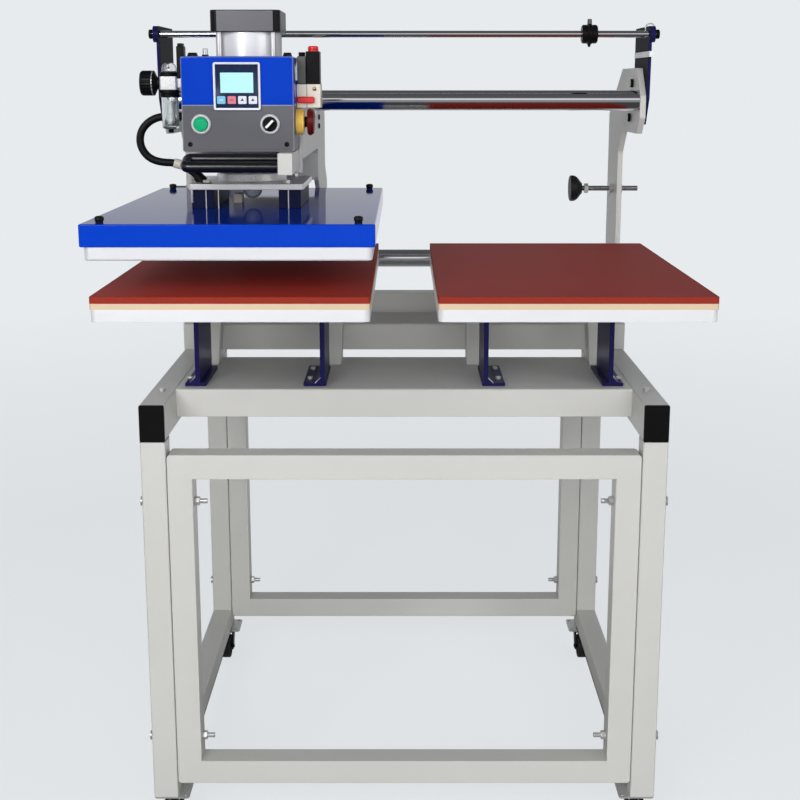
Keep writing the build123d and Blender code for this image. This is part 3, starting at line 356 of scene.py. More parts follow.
def look(colour, drift, rough, grain, bump, **more):
    return {"colour": colour, "drift": drift, "rough": rough, "grain": grain, "bump": bump, **more}


# colour of each finish, its drift, roughness from and to, size and height of the grain, and more by name
looks = {
    "powderCoat": look((0.56, 0.555, 0.53), 0.06, (0.36, 0.5), 900, 0.1, scuff=0.25,
        scuffColour=(0.36, 0.35, 0.33)),
    "blueGloss": look((0.0012, 0.042, 0.46), 0.08, (0.07, 0.12), 700, 0.03, scuff=0.1,
        scuffColour=(0.15, 0.2, 0.5), specular=0.12),
    # the cover's top is a darker copy of blueGloss: painted shade
    "blueShadedTop": look((0.0015, 0.026, 0.26), 0.08, (0.05, 0.08), 700, 0.03, scuff=0.1,
        scuffColour=(0.1, 0.13, 0.35), specular=0.018),
    "blueEdgeHighlight": look((0.1, 0.14, 0.42), 0.06, (0.25, 0.35), 500, 0.02),
    "greyEdgeHighlight": look((0.26, 0.26, 0.29), 0.1, (0.35, 0.45), 700, 0.04),
    "barNavy": look((0.008, 0.01, 0.036), 0.25, (0.35, 0.5), 700, 0.06, specular=0.05),
    "bracketFaceShade": look((0.006, 0.006, 0.009), 0.25, (0.45, 0.6), 700, 0.06, specular=0.02),
    "navyPaint": look((0.012, 0.011, 0.07), 0.25, (0.28, 0.42), 700, 0.06, specular=0.05, scuff=0.4,
        scuffColour=(0.16, 0.15, 0.3)),
    "boxGrey": look((0.085, 0.085, 0.098), 0.12, (0.42, 0.55), 1500, 0.12),
    "chrome": look((0.74, 0.75, 0.77), 0.02, (0.08, 0.12), 600, 0.0, metal=1),
    "zinc": look((0.58, 0.58, 0.57), 0.15, (0.22, 0.4), 500, 0.05, metal=0.6),
    "thread": look((0.42, 0.42, 0.42), 0.2, (0.3, 0.45), 500, 0.03, metal=1, rib=((1, 0, 0), 0.0016)),
    "groundSteel": look((0.7, 0.7, 0.69), 0.12, (0.26, 0.42), 260, 0.05, metal=0.35, stretch=(1, 14, 14),
        scuff=0.4, scuffColour=(0.24, 0.23, 0.21)),
    "darkSteel": look((0.2, 0.2, 0.2), 0.2, (0.3, 0.5), 400, 0.05, metal=0.6),
    "castAluminium": look((0.76, 0.77, 0.79), 0.08, (0.3, 0.44), 500, 0.05, metal=0.25, stretch=(0.08, 1, 1)),
    # the barrel's rim is painted shade, darker towards the outline as seen
    "barrel": look((0.84, 0.845, 0.87), 0.03, (0.27, 0.32), 900, 0.01, metal=0.25, stretch=(1, 1, 0.2),
        rim=(0.3, 0.85, 0.85)),
    "capGrey": look((0.13, 0.13, 0.143), 0.12, (0.34, 0.48), 500, 0.05, metal=0.6, stretch=(0.08, 1, 1)),
    "capShadedSides": look((0.009, 0.009, 0.01), 0.2, (0.28, 0.42), 800, 0.05, specular=0.1),
    "blackPlastic": look((0.0045, 0.0045, 0.005), 0.2, (0.3, 0.45), 1400, 0.12, specular=0.14),
    "blackGloss": look((0.004, 0.004, 0.005), 0.2, (0.14, 0.24), 900, 0.02, specular=0.25),
    "foamRubber": look((0.005, 0.005, 0.006), 0.2, (0.2, 0.28), 1700, 0.1, specular=0.7),
    "sleeve": look((0.005, 0.005, 0.006), 0.2, (0.42, 0.58), 900, 0.2, specular=0.25),
    "bumperRubber": look((0.007, 0.007, 0.008), 0.2, (0.45, 0.6), 900, 0.1, specular=0.3),
    "wheelRubber": look((0.009, 0.009, 0.01), 0.25, (0.38, 0.55), 700, 0.1, specular=0.3, scuff=0.5,
        scuffColour=(0.14, 0.14, 0.13)),
    "silicone": look((0.33, 0.028, 0.018), 0.14, (0.5, 0.66), 1100, 0.22, specular=0.08),
    "siliconeSideShade": look((0.27, 0.03, 0.018), 0.12, (0.55, 0.7), 900, 0.3, specular=0.05),
    "foam": look((0.62, 0.48, 0.33), 0.1, (0.66, 0.82), 1300, 0.4),
    "wool": look((0.66, 0.62, 0.5), 0.12, (0.75, 0.9), 700, 0.5),
    "heater": look((0.76, 0.765, 0.79), 0.05, (0.28, 0.4), 500, 0.03, metal=0.35, stretch=(0.06, 1, 1)),
    "whiteFrame": look((0.72, 0.74, 0.8), 0.03, (0.28, 0.38), 900, 0.03),
    "navyFace": look((0.016, 0.026, 0.072), 0.08, (0.2, 0.3), 900, 0.02),
    "keyCyan": look((0.16, 0.46, 0.66), 0.05, (0.35, 0.45), 900, 0.04),
    "keyRed": look((0.62, 0.15, 0.2), 0.05, (0.35, 0.45), 900, 0.04),
    "keyWhite": look((0.66, 0.67, 0.74), 0.05, (0.35, 0.45), 900, 0.04),
    "keyMark": look((0.03, 0.04, 0.07), 0.05, (0.4, 0.5), 900, 0.02),
    "ringMetal": look((0.78, 0.79, 0.8), 0.04, (0.18, 0.28), 700, 0.03, metal=0.4),
    "greenPlastic": look((0.0, 0.37, 0.16), 0.06, (0.2, 0.3), 900, 0.02, specular=0.2),
    "pointerWhite": look((0.82, 0.82, 0.82), 0.03, (0.3, 0.4), 900, 0.02),
    "redPlastic": look((0.1, 0.005, 0.004), 0.08, (0.22, 0.32), 900, 0.03, specular=0.2),
    "brightRed": look((0.62, 0.01, 0.012), 0.06, (0.25, 0.35), 900, 0.03),
    "yellowPlastic": look((0.92, 0.62, 0.13), 0.08, (0.25, 0.35), 900, 0.03),
    "ivoryPlastic": look((0.66, 0.61, 0.53), 0.06, (0.32, 0.45), 900, 0.05),
    "greyPlastic": look((0.075, 0.08, 0.07), 0.1, (0.4, 0.5), 900, 0.06),
    "brass": look((0.5, 0.33, 0.12), 0.15, (0.22, 0.38), 600, 0.04, metal=1),
    # the rim of rodSilver is painted shade, darker towards the outline as seen
    "rodSilver": look((0.84, 0.84, 0.86), 0.03, (0.2, 0.26), 600, 0.01, metal=0.4, rim=(0.1, 0.75, 0.95)),
    "satinSilver": look((0.68, 0.68, 0.68), 0.08, (0.24, 0.36), 600, 0.04, metal=0.5),
}


def newMaterial(name):
    material = bpy.data.materials.new(name)
    material.use_nodes = True
    return material, material.node_tree, material.node_tree.nodes["Principled BSDF"]


def makeFinish(name, values):
    material, tree, shader = newMaterial(name)
    setInputs(shader, Metallic=values.get("metal", 0), Specular_IOR_Level=values.get("specular", 0.5))
    grain = useGroup(tree, grainGroup, Size=values["grain"], Stretch=values.get("stretch", (1, 1, 1)))
    dark = tuple(part * (1 - values["drift"]) for part in values["colour"]) + (1,)
    light = tuple(min(1, part * (1 + values["drift"])) for part in values["colour"]) + (1,)
    colour = mixColour(tree, grain["Drift"], dark, light)
    if "scuff" in values:
        marks = useGroup(tree, scuffGroup, Amount=values["scuff"])
        colour = mixColour(tree, marks["Mask"], colour, values["scuffColour"] + (1,))
    if "rim" in values:
        # painted shade: the colour darkens towards the outline as seen, standing in for dark reflections at
        # the metal's sides
        facing = addNode(tree, "LayerWeight", Blend=0.5).outputs["Facing"]
        start, end, shade = values["rim"]
        amount = mapRange(tree, facing, start, end, 0.0, shade)
        colour = mixColour(tree, amount, colour, (0.03, 0.03, 0.035, 1))
    tree.links.new(colour, shader.inputs["Base Color"])
    tree.links.new(mapRange(tree, grain["Fine"], 0.3, 0.7, *values["rough"]), shader.inputs["Roughness"])
    height, strength, distance = grain["Fine"], values["bump"], 0.0004
    if "rib" in values:
        ribs = useGroup(tree, ribGroup, Direction=values["rib"][0], Pitch=values["rib"][1])
        height, strength, distance = ribs["Height"], 0.8, 0.0012
    if strength:
        bump = addNode(tree, "Bump", [("Height", height)], Strength=strength, Distance=distance)
        tree.links.new(bump.outputs["Normal"], shader.inputs["Normal"])
    return material


def makeDisplay():
    # lit panel, its glow drifting a little in tone
    material, tree, shader = newMaterial("litDisplay")
    grain = useGroup(tree, grainGroup, Size=180, Stretch=(1, 1, 1))
    glow = mixColour(tree, grain["Drift"], (0.42, 0.86, 0.88, 1), (0.62, 0.97, 0.96, 1))
    tree.links.new(glow, shader.inputs["Emission Color"])
    setInputs(shader, Emission_Strength=0.8, Base_Color=(0.1, 0.2, 0.2, 1), Roughness=0.12)
    return material


def makeClear():
    material, tree, shader = newMaterial("clearBowl")
    grain = useGroup(tree, grainGroup, Size=300, Stretch=(1, 1, 1))
    tree.links.new(mapRange(tree, grain["Fine"], 0.0, 1.0, 0.03, 0.12), shader.inputs["Roughness"])
    setInputs(shader, Base_Color=(0.86, 0.9, 0.9, 1), Transmission_Weight=0.95, IOR=1.45)
    return material


finishes = {name: makeFinish(name, values) for name, values in looks.items()}
finishes["display"] = makeDisplay()
finishes["clear"] = makeClear()
print("finishes made:", len(finishes))

# Stand

# edge width, finish, slot and body of each node that keeps its own shape
softened = {
    "side_frames": (0.0028, "powderCoat", "powder_coat", "stand"),
    "leg_frames": (0.0028, "powderCoat", "powder_coat", "stand"),
    "bed": (0.0012, "powderCoat", "powder_coat", "stand"),
    "rear_beams": (0.0012, "powderCoat", "powder_coat", "stand"),
    "platen_supports": (0.0025, "powderCoat", "powder_coat", "stand"),
    "end_plates": (0.0012, "powderCoat", "powder_coat", "stand"),
    "platen_brackets": (0.0012, "navyPaint", "navy_paint", "stand"),
    "rod_brackets": (0.0008, "navyPaint", "navy_paint", "stand"),
    "caster_plates": (0.0005, "zinc", "zinc", "stand"),
    "tube_end_caps": (0.0012, "blackPlastic", "black_plastic", "stand"),
    "frame_bolts": (0.0006, "zinc", "zinc", "stand"),
    "lower_platens": (0.0012, "castAluminium", "aluminium", "stand"),
    "foam_pads": (0.0012, "foam", "foam", "stand"),
    "silicone_pads": (0.0016, "silicone", "red_silicone", "stand"),
    "carriage_frame": (0.0012, "powderCoat", "powder_coat", "carriage"),
    "heater_plate": (0.0012, "heater", "aluminium", "press_head"),
    "insulation": (0.001, "wool", "wool", "press_head"),
}
# faces of a piece that have a finish of their own
accents = {
    # the pads' side faces are a darker, duller red: painted shade
    "silicone_pads": [("siliconeSideShade", lambda centre, normal: abs(normal.z) < 0.5)],
    "platen_brackets": [("zinc", lambda centre, normal: 0.7463 < centre.z < 0.7503)],
    # the brackets' inner side faces are near-black: painted shade
    "rod_brackets": [("bracketFaceShade", lambda centre, normal: abs(normal.x) > 0.9 and abs(centre.x) < 0.4336),
                     ("blackGloss", lambda centre, normal: abs(centre.x) > 0.4336 and centre.z < 1.29)],
    "frame_bolts": [("blackGloss", lambda centre, normal: centre.z > 1.05)],
}


def makeSoftened():
    for node, (width, finish, slotName, body) in softened.items():
        piece = soften(node, finish, width, slotName, body, 0.003 if node == "frame_bolts" else 0.012)
        for accent, test in accents.get(node, ()):
            paintWhere(piece, accent, test)


makeSoftened()
print("frame, platens and plates softened")

shafts = {"radius": 0.018, "endChamfer": 0.001}
hoseRod = {"radius": 0.006, "capLength": 0.006, "capCut": 0.001}


def barProfile(radius, length, cut):
    # a round bar with both ends chamfered
    side = [(radius - cut, 0), (radius, cut), (radius, length - cut), (radius - cut, length)]
    return [(0, 0)] + side + [(0, length)]


def makeRails():
    low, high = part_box("chrome_rails")
    radius = shafts["radius"]
    profile = barProfile(radius, high.x - low.x, shafts["endChamfer"])
    rails = [addSpun("chrome", profile, (low.x, y, z), toRight, 96)
             for y, z in ((low.y + radius, high.z - radius), (high.y - radius, low.z + radius))]
    setParts("chrome_rails", rails, "chrome", "stand")


def makeCableRod():
    low, high, (_, y, z) = boxOf("cable_rod")
    cap = hoseRod["capLength"]
    parts = [smooth(addRound("chrome", hoseRod["radius"], (low.x + cap, y, z), (high.x - cap, y, z)))]
    profile = barProfile((high.z - low.z) / 2, cap, hoseRod["capCut"])
    for x in (low.x, high.x - cap):
        parts.append(addSpun("blackPlastic", profile, (x, y, z), toRight))
    setParts("cable_rod", parts, "chrome", "stand")


def makeTrolley():
    low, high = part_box("cable_trolley")
    y, z = boxOf("cable_rod")[2][1:]
    length = high.x - low.x
    middle = (low.x + high.x) / 2
    bore = hoseRod["radius"] + 0.0001
    profile = [(bore, 0), (0.014, 0), (0.016, 0.002), (0.016, 0.009), (0.018, 0.0105), (0.018, 0.0165),
        (0.016, 0.018), (0.016, length - 0.002), (0.014, length), (bore, length), (bore, 0)]
    body = addSpun("blackPlastic", profile, (low.x, y, z), toRight)
    stub = addSpun("greyPlastic", [(0, 0), (0.004, 0), (0.004, 0.008), (0.0034, 0.0118), (0, 0.0118)],
        (middle, y, high.z - 0.012), upward, 40)
    pin = addSpun("blackPlastic", [(0, 0), (0.0022, 0.0005), (0.0025, 0.002), (0.0025, 0.009), (0, 0.009)],
        (middle, y, low.z), upward, 32)
    setParts("cable_trolley", [body, stub, pin], "black_plastic", "cable_trolley")


stopLook = {"rodRadius": 0.005, "rodEnd": 0.0008, "nutRadius": 0.0098, "nutAt": 0.005, "nutLength": 0.008}


def makeStops():
    for side, outward in (("left", -1), ("right", 1)):
        low, high, (_, y, z) = boxOf(side + "_stop_bumper")
        radius, length = (high.z - low.z) / 2, high.x - low.x
        # the domed face looks towards the middle of the machine
        face = low.x if outward > 0 else high.x
        profile = [(0, 0), (radius - 0.002, 0), (radius, 0.0015), (radius, 0.008), (radius - 0.0016, 0.012),
            (radius - 0.0048, 0.016), (radius - 0.0095, 0.0195), (0.0125, length - 0.002), (0.011, length),
            (0, length)]
        bumper = addSpun("bumperRubber", profile, (face, y, z), (outward, 0, 0), 80, side + "Bumper")
        setPiece(bumper, side + "_stop", "black_rubber", side + "_stop_bumper")
        low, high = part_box(side + "_stop_screw")
        start = low.x if outward > 0 else high.x
        radius, end, run = stopLook["rodRadius"], stopLook["rodEnd"], high.x - low.x
        rod = addSpun("thread", [(0, 0), (radius, 0), (radius, run - end), (radius - end, run), (0, run)],
            (start, y, z), (outward, 0, 0), 48)
        nutStart = start + outward * stopLook["nutAt"]
        nutEnd = nutStart + outward * stopLook["nutLength"]
        nut = roundEdges(addRound("zinc", stopLook["nutRadius"], (nutStart, y, z), (nutEnd, y, z), 6), 0.0006)
        setParts(side + "_stop_screw", [rod, nut], "zinc", side + "_stop")


makeRails()
makeCableRod()
makeTrolley()
makeStops()
print("shafts, trolley and stops modelled")

casterLook = {"bore": 0.0041, "treadEdge": 0.003, "hubRadius": 0.009, "recessDepth": 0.003,
    "recessRadius": 0.018}


def makeCasters():
    for place in ("front_left", "front_right", "rear_left", "rear_right"):
        low, high, (_, y, z) = boxOf(place + "_caster_wheel")
        radius, width = (high.z - low.z) / 2, high.x - low.x
        edge, hub = casterLook["treadEdge"], casterLook["hubRadius"]
        deep, dish = casterLook["recessDepth"], casterLook["recessRadius"]
        profile = [(casterLook["bore"], 0), (hub, 0), (hub, deep), (dish, deep), (dish + 0.001, 0.0004),
            (radius - edge, 0)]
        for step in range(1, 5):
            angle = step * pi / 8
            profile.append((radius - edge + edge * sin(angle), edge - edge * cos(angle)))
        whole = profile + [(r, width - a) for r, a in reversed(profile)] + [profile[0]]
        wheel = addSpun("wheelRubber", whole, (low.x, y, z), toRight, 80, place + "Wheel")
        setPiece(wheel, place + "_wheel", "grey_wheel", place + "_caster_wheel")
        soften(place + "_caster_fork", "blackPlastic", 0.0007, "black_plastic", place + "_fork", 0.006)


makeCasters()
print("casters modelled")

# Carriage

boxLow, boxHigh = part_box("control_box")
cylinderLook = {"capHeight": 0.033, "corner": 0.011, "edge": 0.0012, "wall": 0.004}


def makeCylinder():
    low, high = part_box("cylinder_caps")
    tall, wall = cylinderLook["capHeight"], cylinderLook["wall"]
    caps = []
    for z in (low.z, high.z - tall):
        # each cap is near-black except its front and top faces, which keep the cap's grey: painted shade on
        # the sides and corners
        cap = addCase("capShadedSides", (low.x, low.y, z), (high.x, high.y, z + tall), cylinderLook["corner"], 6,
            cylinderLook["edge"])
        paintWhere(cap, "capGrey", lambda centre, normal: normal.y < -0.995 or normal.z > 0.95)
        caps.append(cap)
    setParts("cylinder_caps", caps, "dark_aluminium")
    low, high, (x, y, _) = boxOf("cylinder_barrel")
    radius, length = (high.x - low.x) / 2, high.z - low.z
    profile = [(radius - wall, 0), (radius, 0), (radius, length), (radius - wall, length), (radius - wall, 0)]
    barrel = addSpun("barrel", profile, (x, y, low.z), upward, 128)
    setParts("cylinder_barrel", [barrel], "aluminium")
    makeTieRods(low.z, high.z)


def makeTieRods(bottom, top):
    low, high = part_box("tie_rods")
    radius, screw = 0.0045, 0.0055
    profile = [(0, 0.003), (0.0025, 0.003), (0.003, 0.006), (0.0048, 0.006), (screw, 0.0052), (screw, 0),
        (0, 0)]
    rods = []
    for x in (low.x + screw, high.x - screw):
        for y in (low.y + screw, high.y - screw):
            rods.append(smooth(addRound("rodSilver", radius, (x, y, bottom), (x, y, top), 40)))
            rods.append(addSpun("zinc", profile, (x, y, high.z - 0.006), upward, 32))
    setParts("tie_rods", rods, "zinc")


boxLook = {"corner": 0.003, "splitHeight": 1.2046, "line": 0.0012, "screwRadius": 0.0036, "screwSide": 0.071,
    "screwRise": 0.011}


def cutAt(piece, height):
    editAll(piece)
    bpy.ops.mesh.bisect(plane_co=(0, 0, height), plane_no=(0, 0, 1))
    leaveEdit()


def makeControlBox():
    box = roundEdges(addBlock("boxGrey", boxLow, boxHigh), boxLook["corner"], 4)
    split, line = boxLook["splitHeight"], boxLook["line"]
    cutAt(box, split)
    cutAt(box, split - line)
    paintWhere(box, "blueGloss", lambda centre, normal: centre.z > split)
    rim = boxLow.y + boxLook["corner"] * 0.9

    def onRim(centre, normal):
        return -0.97 < normal.y < -0.2 and centre.y < rim

    # pale rounded front edges, and a pale line along the colour split: painted highlight
    paintWhere(box, "blueEdgeHighlight", lambda centre, normal: centre.z > split and onRim(centre, normal))
    paintWhere(box, "greyEdgeHighlight", lambda centre, normal: split - line < centre.z < split or
        (centre.z < split and onRim(centre, normal)))
    setParts("control_box", [box], "blue_paint")
    radius = boxLook["screwRadius"]
    profile = [(0, 0.0022), (radius * 0.45, 0.0024), (radius * 0.8, 0.0017), (radius, 0), (0, 0)]
    for side, name in ((-1, "box_screw_left"), (1, "box_screw_right")):
        x = (boxLow.x + boxHigh.x) / 2 + side * boxLook["screwSide"]
        place = (x, boxLow.y, boxLow.z + boxLook["screwRise"])
        setPiece(addSpun("blackGloss", profile, place, toFront, 32, name), "carriage", "black_plastic")


controllerLook = {"corner": 0.0032, "rim": 0.0024, "recess": 0.0012, "edge": 0.0007}


def makeController():
    low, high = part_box("controller_case")
    case = addBlock("whiteFrame", low, (high.x, boxLow.y, high.z))
    bevelUpright(case, controllerLook["corner"], 6, 1)
    roundEdges(case, controllerLook["edge"], 2, angle=60)
    editAll(case)
    bpy.ops.mesh.select_all(action="DESELECT")
    made = bmesh.from_edit_mesh(case.data)
    front = max((face for face in made.faces if face.normal.y < -0.99), key=lambda face: face.calc_area())
    front.select = True
    bmesh.update_edit_mesh(case.data)
    bpy.ops.mesh.inset(thickness=controllerLook["rim"])
    bpy.ops.mesh.extrude_region_move(TRANSFORM_OT_translate={"value": (0, controllerLook["recess"], 0)})
    leaveEdit()
    floorY = low.y + controllerLook["recess"]
    paintWhere(case, "navyFace", lambda centre, normal: normal.y < -0.99 and abs(centre.y - floorY) < 1e-4)
    setParts("controller_case", [case], "controller_frame")
    low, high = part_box("controller_lens")
    lens = roundEdges(addBlock("display", (low.x, low.y - 0.0003, low.z), high), 0.0004, 2)
    setParts("controller_lens", [lens], "lcd")


# finish, slot and mark of each key, and the way its arrow points, or 0 for a bar
keyLook = (("keyCyan", "key_cyan", "keyWhite", 0), ("keyRed", "key_red", "keyMark", 0),
           ("keyWhite", "key_white", "keyMark", -1), ("keyWhite", "key_white", "keyMark", 1))
keyDepth = 0.003  # short enough to stay off the box's face when pressed


def makeKeys():
    for number, (finish, slotName, markFinish, turn) in enumerate(keyLook, 1):
        node = f"controller_key_{number}"
        low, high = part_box(node)
        key = addCase(finish, low, (high.x, low.y + keyDepth, high.z), 0.0016, 4, 0.0005, 2, axis=1)
        middle = Vector(((low.x + high.x) / 2, low.y, (low.z + high.z) / 2))
        if turn:
            deselectAll()
            bpy.ops.mesh.primitive_cylinder_add(vertices=3, radius=0.0028, depth=0.0004, location=middle,
                rotation=(pi / 2, 0, 0 if turn > 0 else pi))
            mark = bpy.context.object
            fixPlace(mark)
            paint(mark, markFinish)
        else:
            half = Vector((0.003, 0.0002, 0.0005))
            mark = addBlock(markFinish, middle - half, middle + half)
        setParts(node, [key, mark], slotName, f"key_{number}")


buttonLook = {"ring": 0.0145, "hole": 0.0106, "tall": 0.005, "collar": 0.019, "collarHole": 0.0085,
    "grooves": (0.0092, 0.0068, 0.0044, 0.002), "stopCap": 0.0115}


def makeButtons():
    ring, hole, tall = buttonLook["ring"], buttonLook["hole"], buttonLook["tall"]
    profile = [(hole, 0), (hole, tall - 0.001), (hole + 0.0012, tall), (ring - 0.0016, tall),
        (ring, tall - 0.0022), (ring, 0), (hole, 0)]
    rings = []
    for node in ("start_button", "selector_knob"):
        x, y, z = boxOf(node)[2]
        rings.append(addSpun("ringMetal", profile, (x, boxLow.y, z), toFront, 80))
    low, high, (_, y, z) = boxOf("e_stop_button")
    outer, hole = buttonLook["collar"], buttonLook["collarHole"]
    collar = [(hole, 0), (hole, 0.012), (0.016, 0.012), (0.0186, 0.0105)]
    for groove in buttonLook["grooves"]:
        collar += [(outer, groove + 0.0007), (outer, groove), (0.0181, groove - 0.0005),
            (outer, groove - 0.001)]
    collar += [(outer, 0), (hole, 0)]
    rings.append(addSpun("yellowPlastic", collar, (boxHigh.x, y, z), toRight, 80))
    setParts("button_bezels", rings, "zinc")
    makeStartButton()
    makeSelector()
    radius, cap = (high.z - low.z) / 2, buttonLook["stopCap"]
    stem = high.x - low.x - cap
    mushroom = [(0, 0), (0.008, 0), (0.008, stem), (radius - 0.002, stem), (radius, stem + 0.002),
        (radius, stem + 0.005), (radius - 0.003, stem + cap - 0.002), (radius - 0.008, stem + cap - 0.0003),
        (0.006, stem + cap), (0, stem + cap)]
    stop = addSpun("redPlastic", mushroom, (low.x, y, z), toRight, 80)
    # the stem in the gap under the cap is painted black: painted shade
    paintWhere(stop, "blackPlastic", lambda centre, normal: centre.x < low.x + stem - 0.0005)
    setParts("e_stop_button", [stop], "red", "e_stop_button")


def makeStartButton():
    low, high, (x, y, z) = boxOf("start_button")
    radius, depth = (high.z - low.z) / 2, high.y - low.y
    profile = [(0, 0), (radius, 0), (radius, depth - 0.001), (radius - 0.001, depth),
        (radius - 0.0022, depth), (radius - 0.0028, depth - 0.0006), (0.004, depth - 0.0003),
        (0, depth - 0.0002)]
    button = addSpun("greenPlastic", profile, (x, high.y, z), toFront, 80)
    setParts("start_button", [button], "green", "start_button")


selectorLook = {"gripTall": 0.009, "gripHalf": (0.003, 0.0088)}


def makeSelector():
    low, high, (x, y, z) = boxOf("selector_knob")
    radius = (high.z - low.z) / 2
    faceY = low.y + selectorLook["gripTall"]
    depth = high.y - faceY
    wide, tall = selectorLook["gripHalf"]
    profile = [(0, 0), (radius, 0), (radius, depth - 0.0008), (radius - 0.0008, depth), (0, depth)]
    disc = addSpun("blackPlastic", profile, (x, high.y, z), toFront, 80)
    grip = addBlock("blackGloss", (x - wide, low.y, z - tall), (x + wide, faceY + 0.001, z + tall))
    pointer = addBlock("pointerWhite", (x - 0.0016, low.y - 0.00005, z - 0.0068),
        (x + 0.0016, low.y + 0.0006, z + 0.008))
    roundEdges(grip, 0.0009, 3)
    for part in (grip, pointer):
        editAll(part)
        bpy.ops.transform.rotate(value=-pi / 4, orient_axis="Y", center_override=(x, faceY, z))
        leaveEdit()
    setParts("selector_knob", [disc, grip, pointer], "black_plastic", "selector_knob")


valveLook = {"seam": 0.015, "coilWide": 0.021, "coilTall": 0.048, "plugTall": 0.041}


def makeValve():
    low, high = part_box("valve_body")
    body = roundEdges(addBlock("ivoryPlastic", (low.x, low.y + 0.0015, low.z), high), 0.0012, 3)
    seamX = low.x + valveLook["seam"]
    seam = addBlock("greyPlastic", (seamX, low.y + 0.0012, low.z), (seamX + 0.0008, low.y + 0.0018, high.z))
    screw = addSpun("brass", [(0, 0.0012), (0.002, 0.0012), (0.003, 0.0006), (0.003, 0), (0, 0)],
        (high.x - 0.009, low.y + 0.0015, low.z + 0.028), toFront, 32)
    lever = roundEdges(addBlock("brightRed", (low.x + 0.001, low.y - 0.006, low.z + 0.007),
        (high.x - 0.009, low.y + 0.002, low.z + 0.0165)), 0.002, 4)
    setParts("valve_body", [body, seam, screw, lever], "white_plastic")
    low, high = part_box("valve_coil")
    left = high.x - valveLook["coilWide"]
    top = low.z + valveLook["coilTall"]
    coil = addCase("blackPlastic", (left, low.y, low.z), (high.x, high.y, top), 0.002, 4, 0.0006, 2)
    y = (low.y + high.y) / 2
    profile = [(0, 0.008), (0.0062, 0.008), (0.0078, 0.0066), (0.008, 0.004), (0.0074, 0.0035),
        (0.008, 0.003), (0.008, 0), (0, 0)]
    cap = addSpun("brightRed", profile, (high.x - 0.0105, y, top), upward, 48)
    plugTop = low.z + valveLook["plugTall"]
    plug = addBlock("greyPlastic", (low.x, low.y + 0.002, low.z), (left, high.y - 0.002, plugTop))
    roundEdges(plug, 0.0012, 3)
    x = (low.x + high.x - valveLook["coilWide"]) / 2
    gland = addRound("blackPlastic", 0.0052, (x, y, plugTop), (x, y, low.z + 0.047), 8)
    roundEdges(gland, 0.0006, 2)
    setParts("valve_coil", [coil, cap, plug, gland], "black_plastic")


airLook = {"half": 0.013, "bodyHalf": 0.01, "ringTall": 0.011, "ring": 0.0145, "dome": 0.011, "neck": 0.004}


def makeAirUnit():
    low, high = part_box("air_regulator")
    half, tall, ring, dome = airLook["half"], airLook["bodyHalf"], airLook["ring"], airLook["dome"]
    x, y, z = low.x + airLook["neck"] + half, (low.y + high.y) / 2, low.z + airLook["ringTall"] + tall
    body = addCase("satinSilver", (x - half, y - half, z - tall), (x + half, y + half, z + tall),
        0.003, 4, 0.001)
    link = addBlock("satinSilver", (x + half - 0.002, y - 0.008, z - 0.007), (boxLow.x, y + 0.008, z + 0.007))
    roundEdges(link, 0.001)
    neck = smooth(addRound("blackPlastic", 0.009, (low.x, y, z), (x - half + 0.002, y, z)))
    profile = [(0, 0), (ring - 0.001, 0), (ring, 0.001), (ring, 0.004), (ring - 0.001, 0.005), (ring, 0.006),
        (ring, airLook["ringTall"]), (0, airLook["ringTall"])]
    lower = addSpun("blackPlastic", profile, (x, y, low.z), upward, 64)
    upper = addSpun("blackPlastic", [(0.0115, 0), (0.0135, 0), (0.0135, 0.006), (0.0115, 0.0066)],
        (x, y, z + tall), upward, 64)
    top = high.z - z - tall
    profile = [(0, 0), (dome, 0), (dome, top - 0.007), (dome - 0.002, top - 0.003),
        (dome - 0.005, top - 0.0006), (0, top)]
    window = addSpun("clear", profile, (x, y, z + tall), upward, 64)
    setParts("air_regulator", [body, link, neck, lower, upper, window], "aluminium")
    makeBowl()
    makeRegulatorKnob()


def makeBowl():
    low, high, (x, y, _) = boxOf("filter_bowl")
    radius, tall, wall, drain = (high.x - low.x) / 2, high.z - low.z, 0.002, 0.005
    foot = (x, y, low.z)
    shell = [(0, drain), (radius - 0.004, drain), (radius - 0.001, drain + 0.0015), (radius, drain + 0.004),
        (radius, tall), (radius - wall, tall), (radius - wall, drain + 0.005), (0, drain + 0.004)]
    bowl = addSpun("clear", shell, foot, upward)
    tube = [(0, 0.014), (0.003, 0.014), (0.0065, 0.018), (0.0065, tall - 0.008), (0.009, tall - 0.004),
        (0, tall - 0.004)]
    core = addSpun("pointerWhite", tube, foot, upward, 40)
    plug = [(0, 0), (0.0035, 0), (0.004, 0.0008), (0.004, drain), (0, drain)]
    screw = addSpun("blackPlastic", plug, foot, upward, 32)
    setParts("filter_bowl", [bowl, core, screw], "clear")


knobLook = {"steps": 72, "pressed": 0.0012, "bandAt": 0.0058}


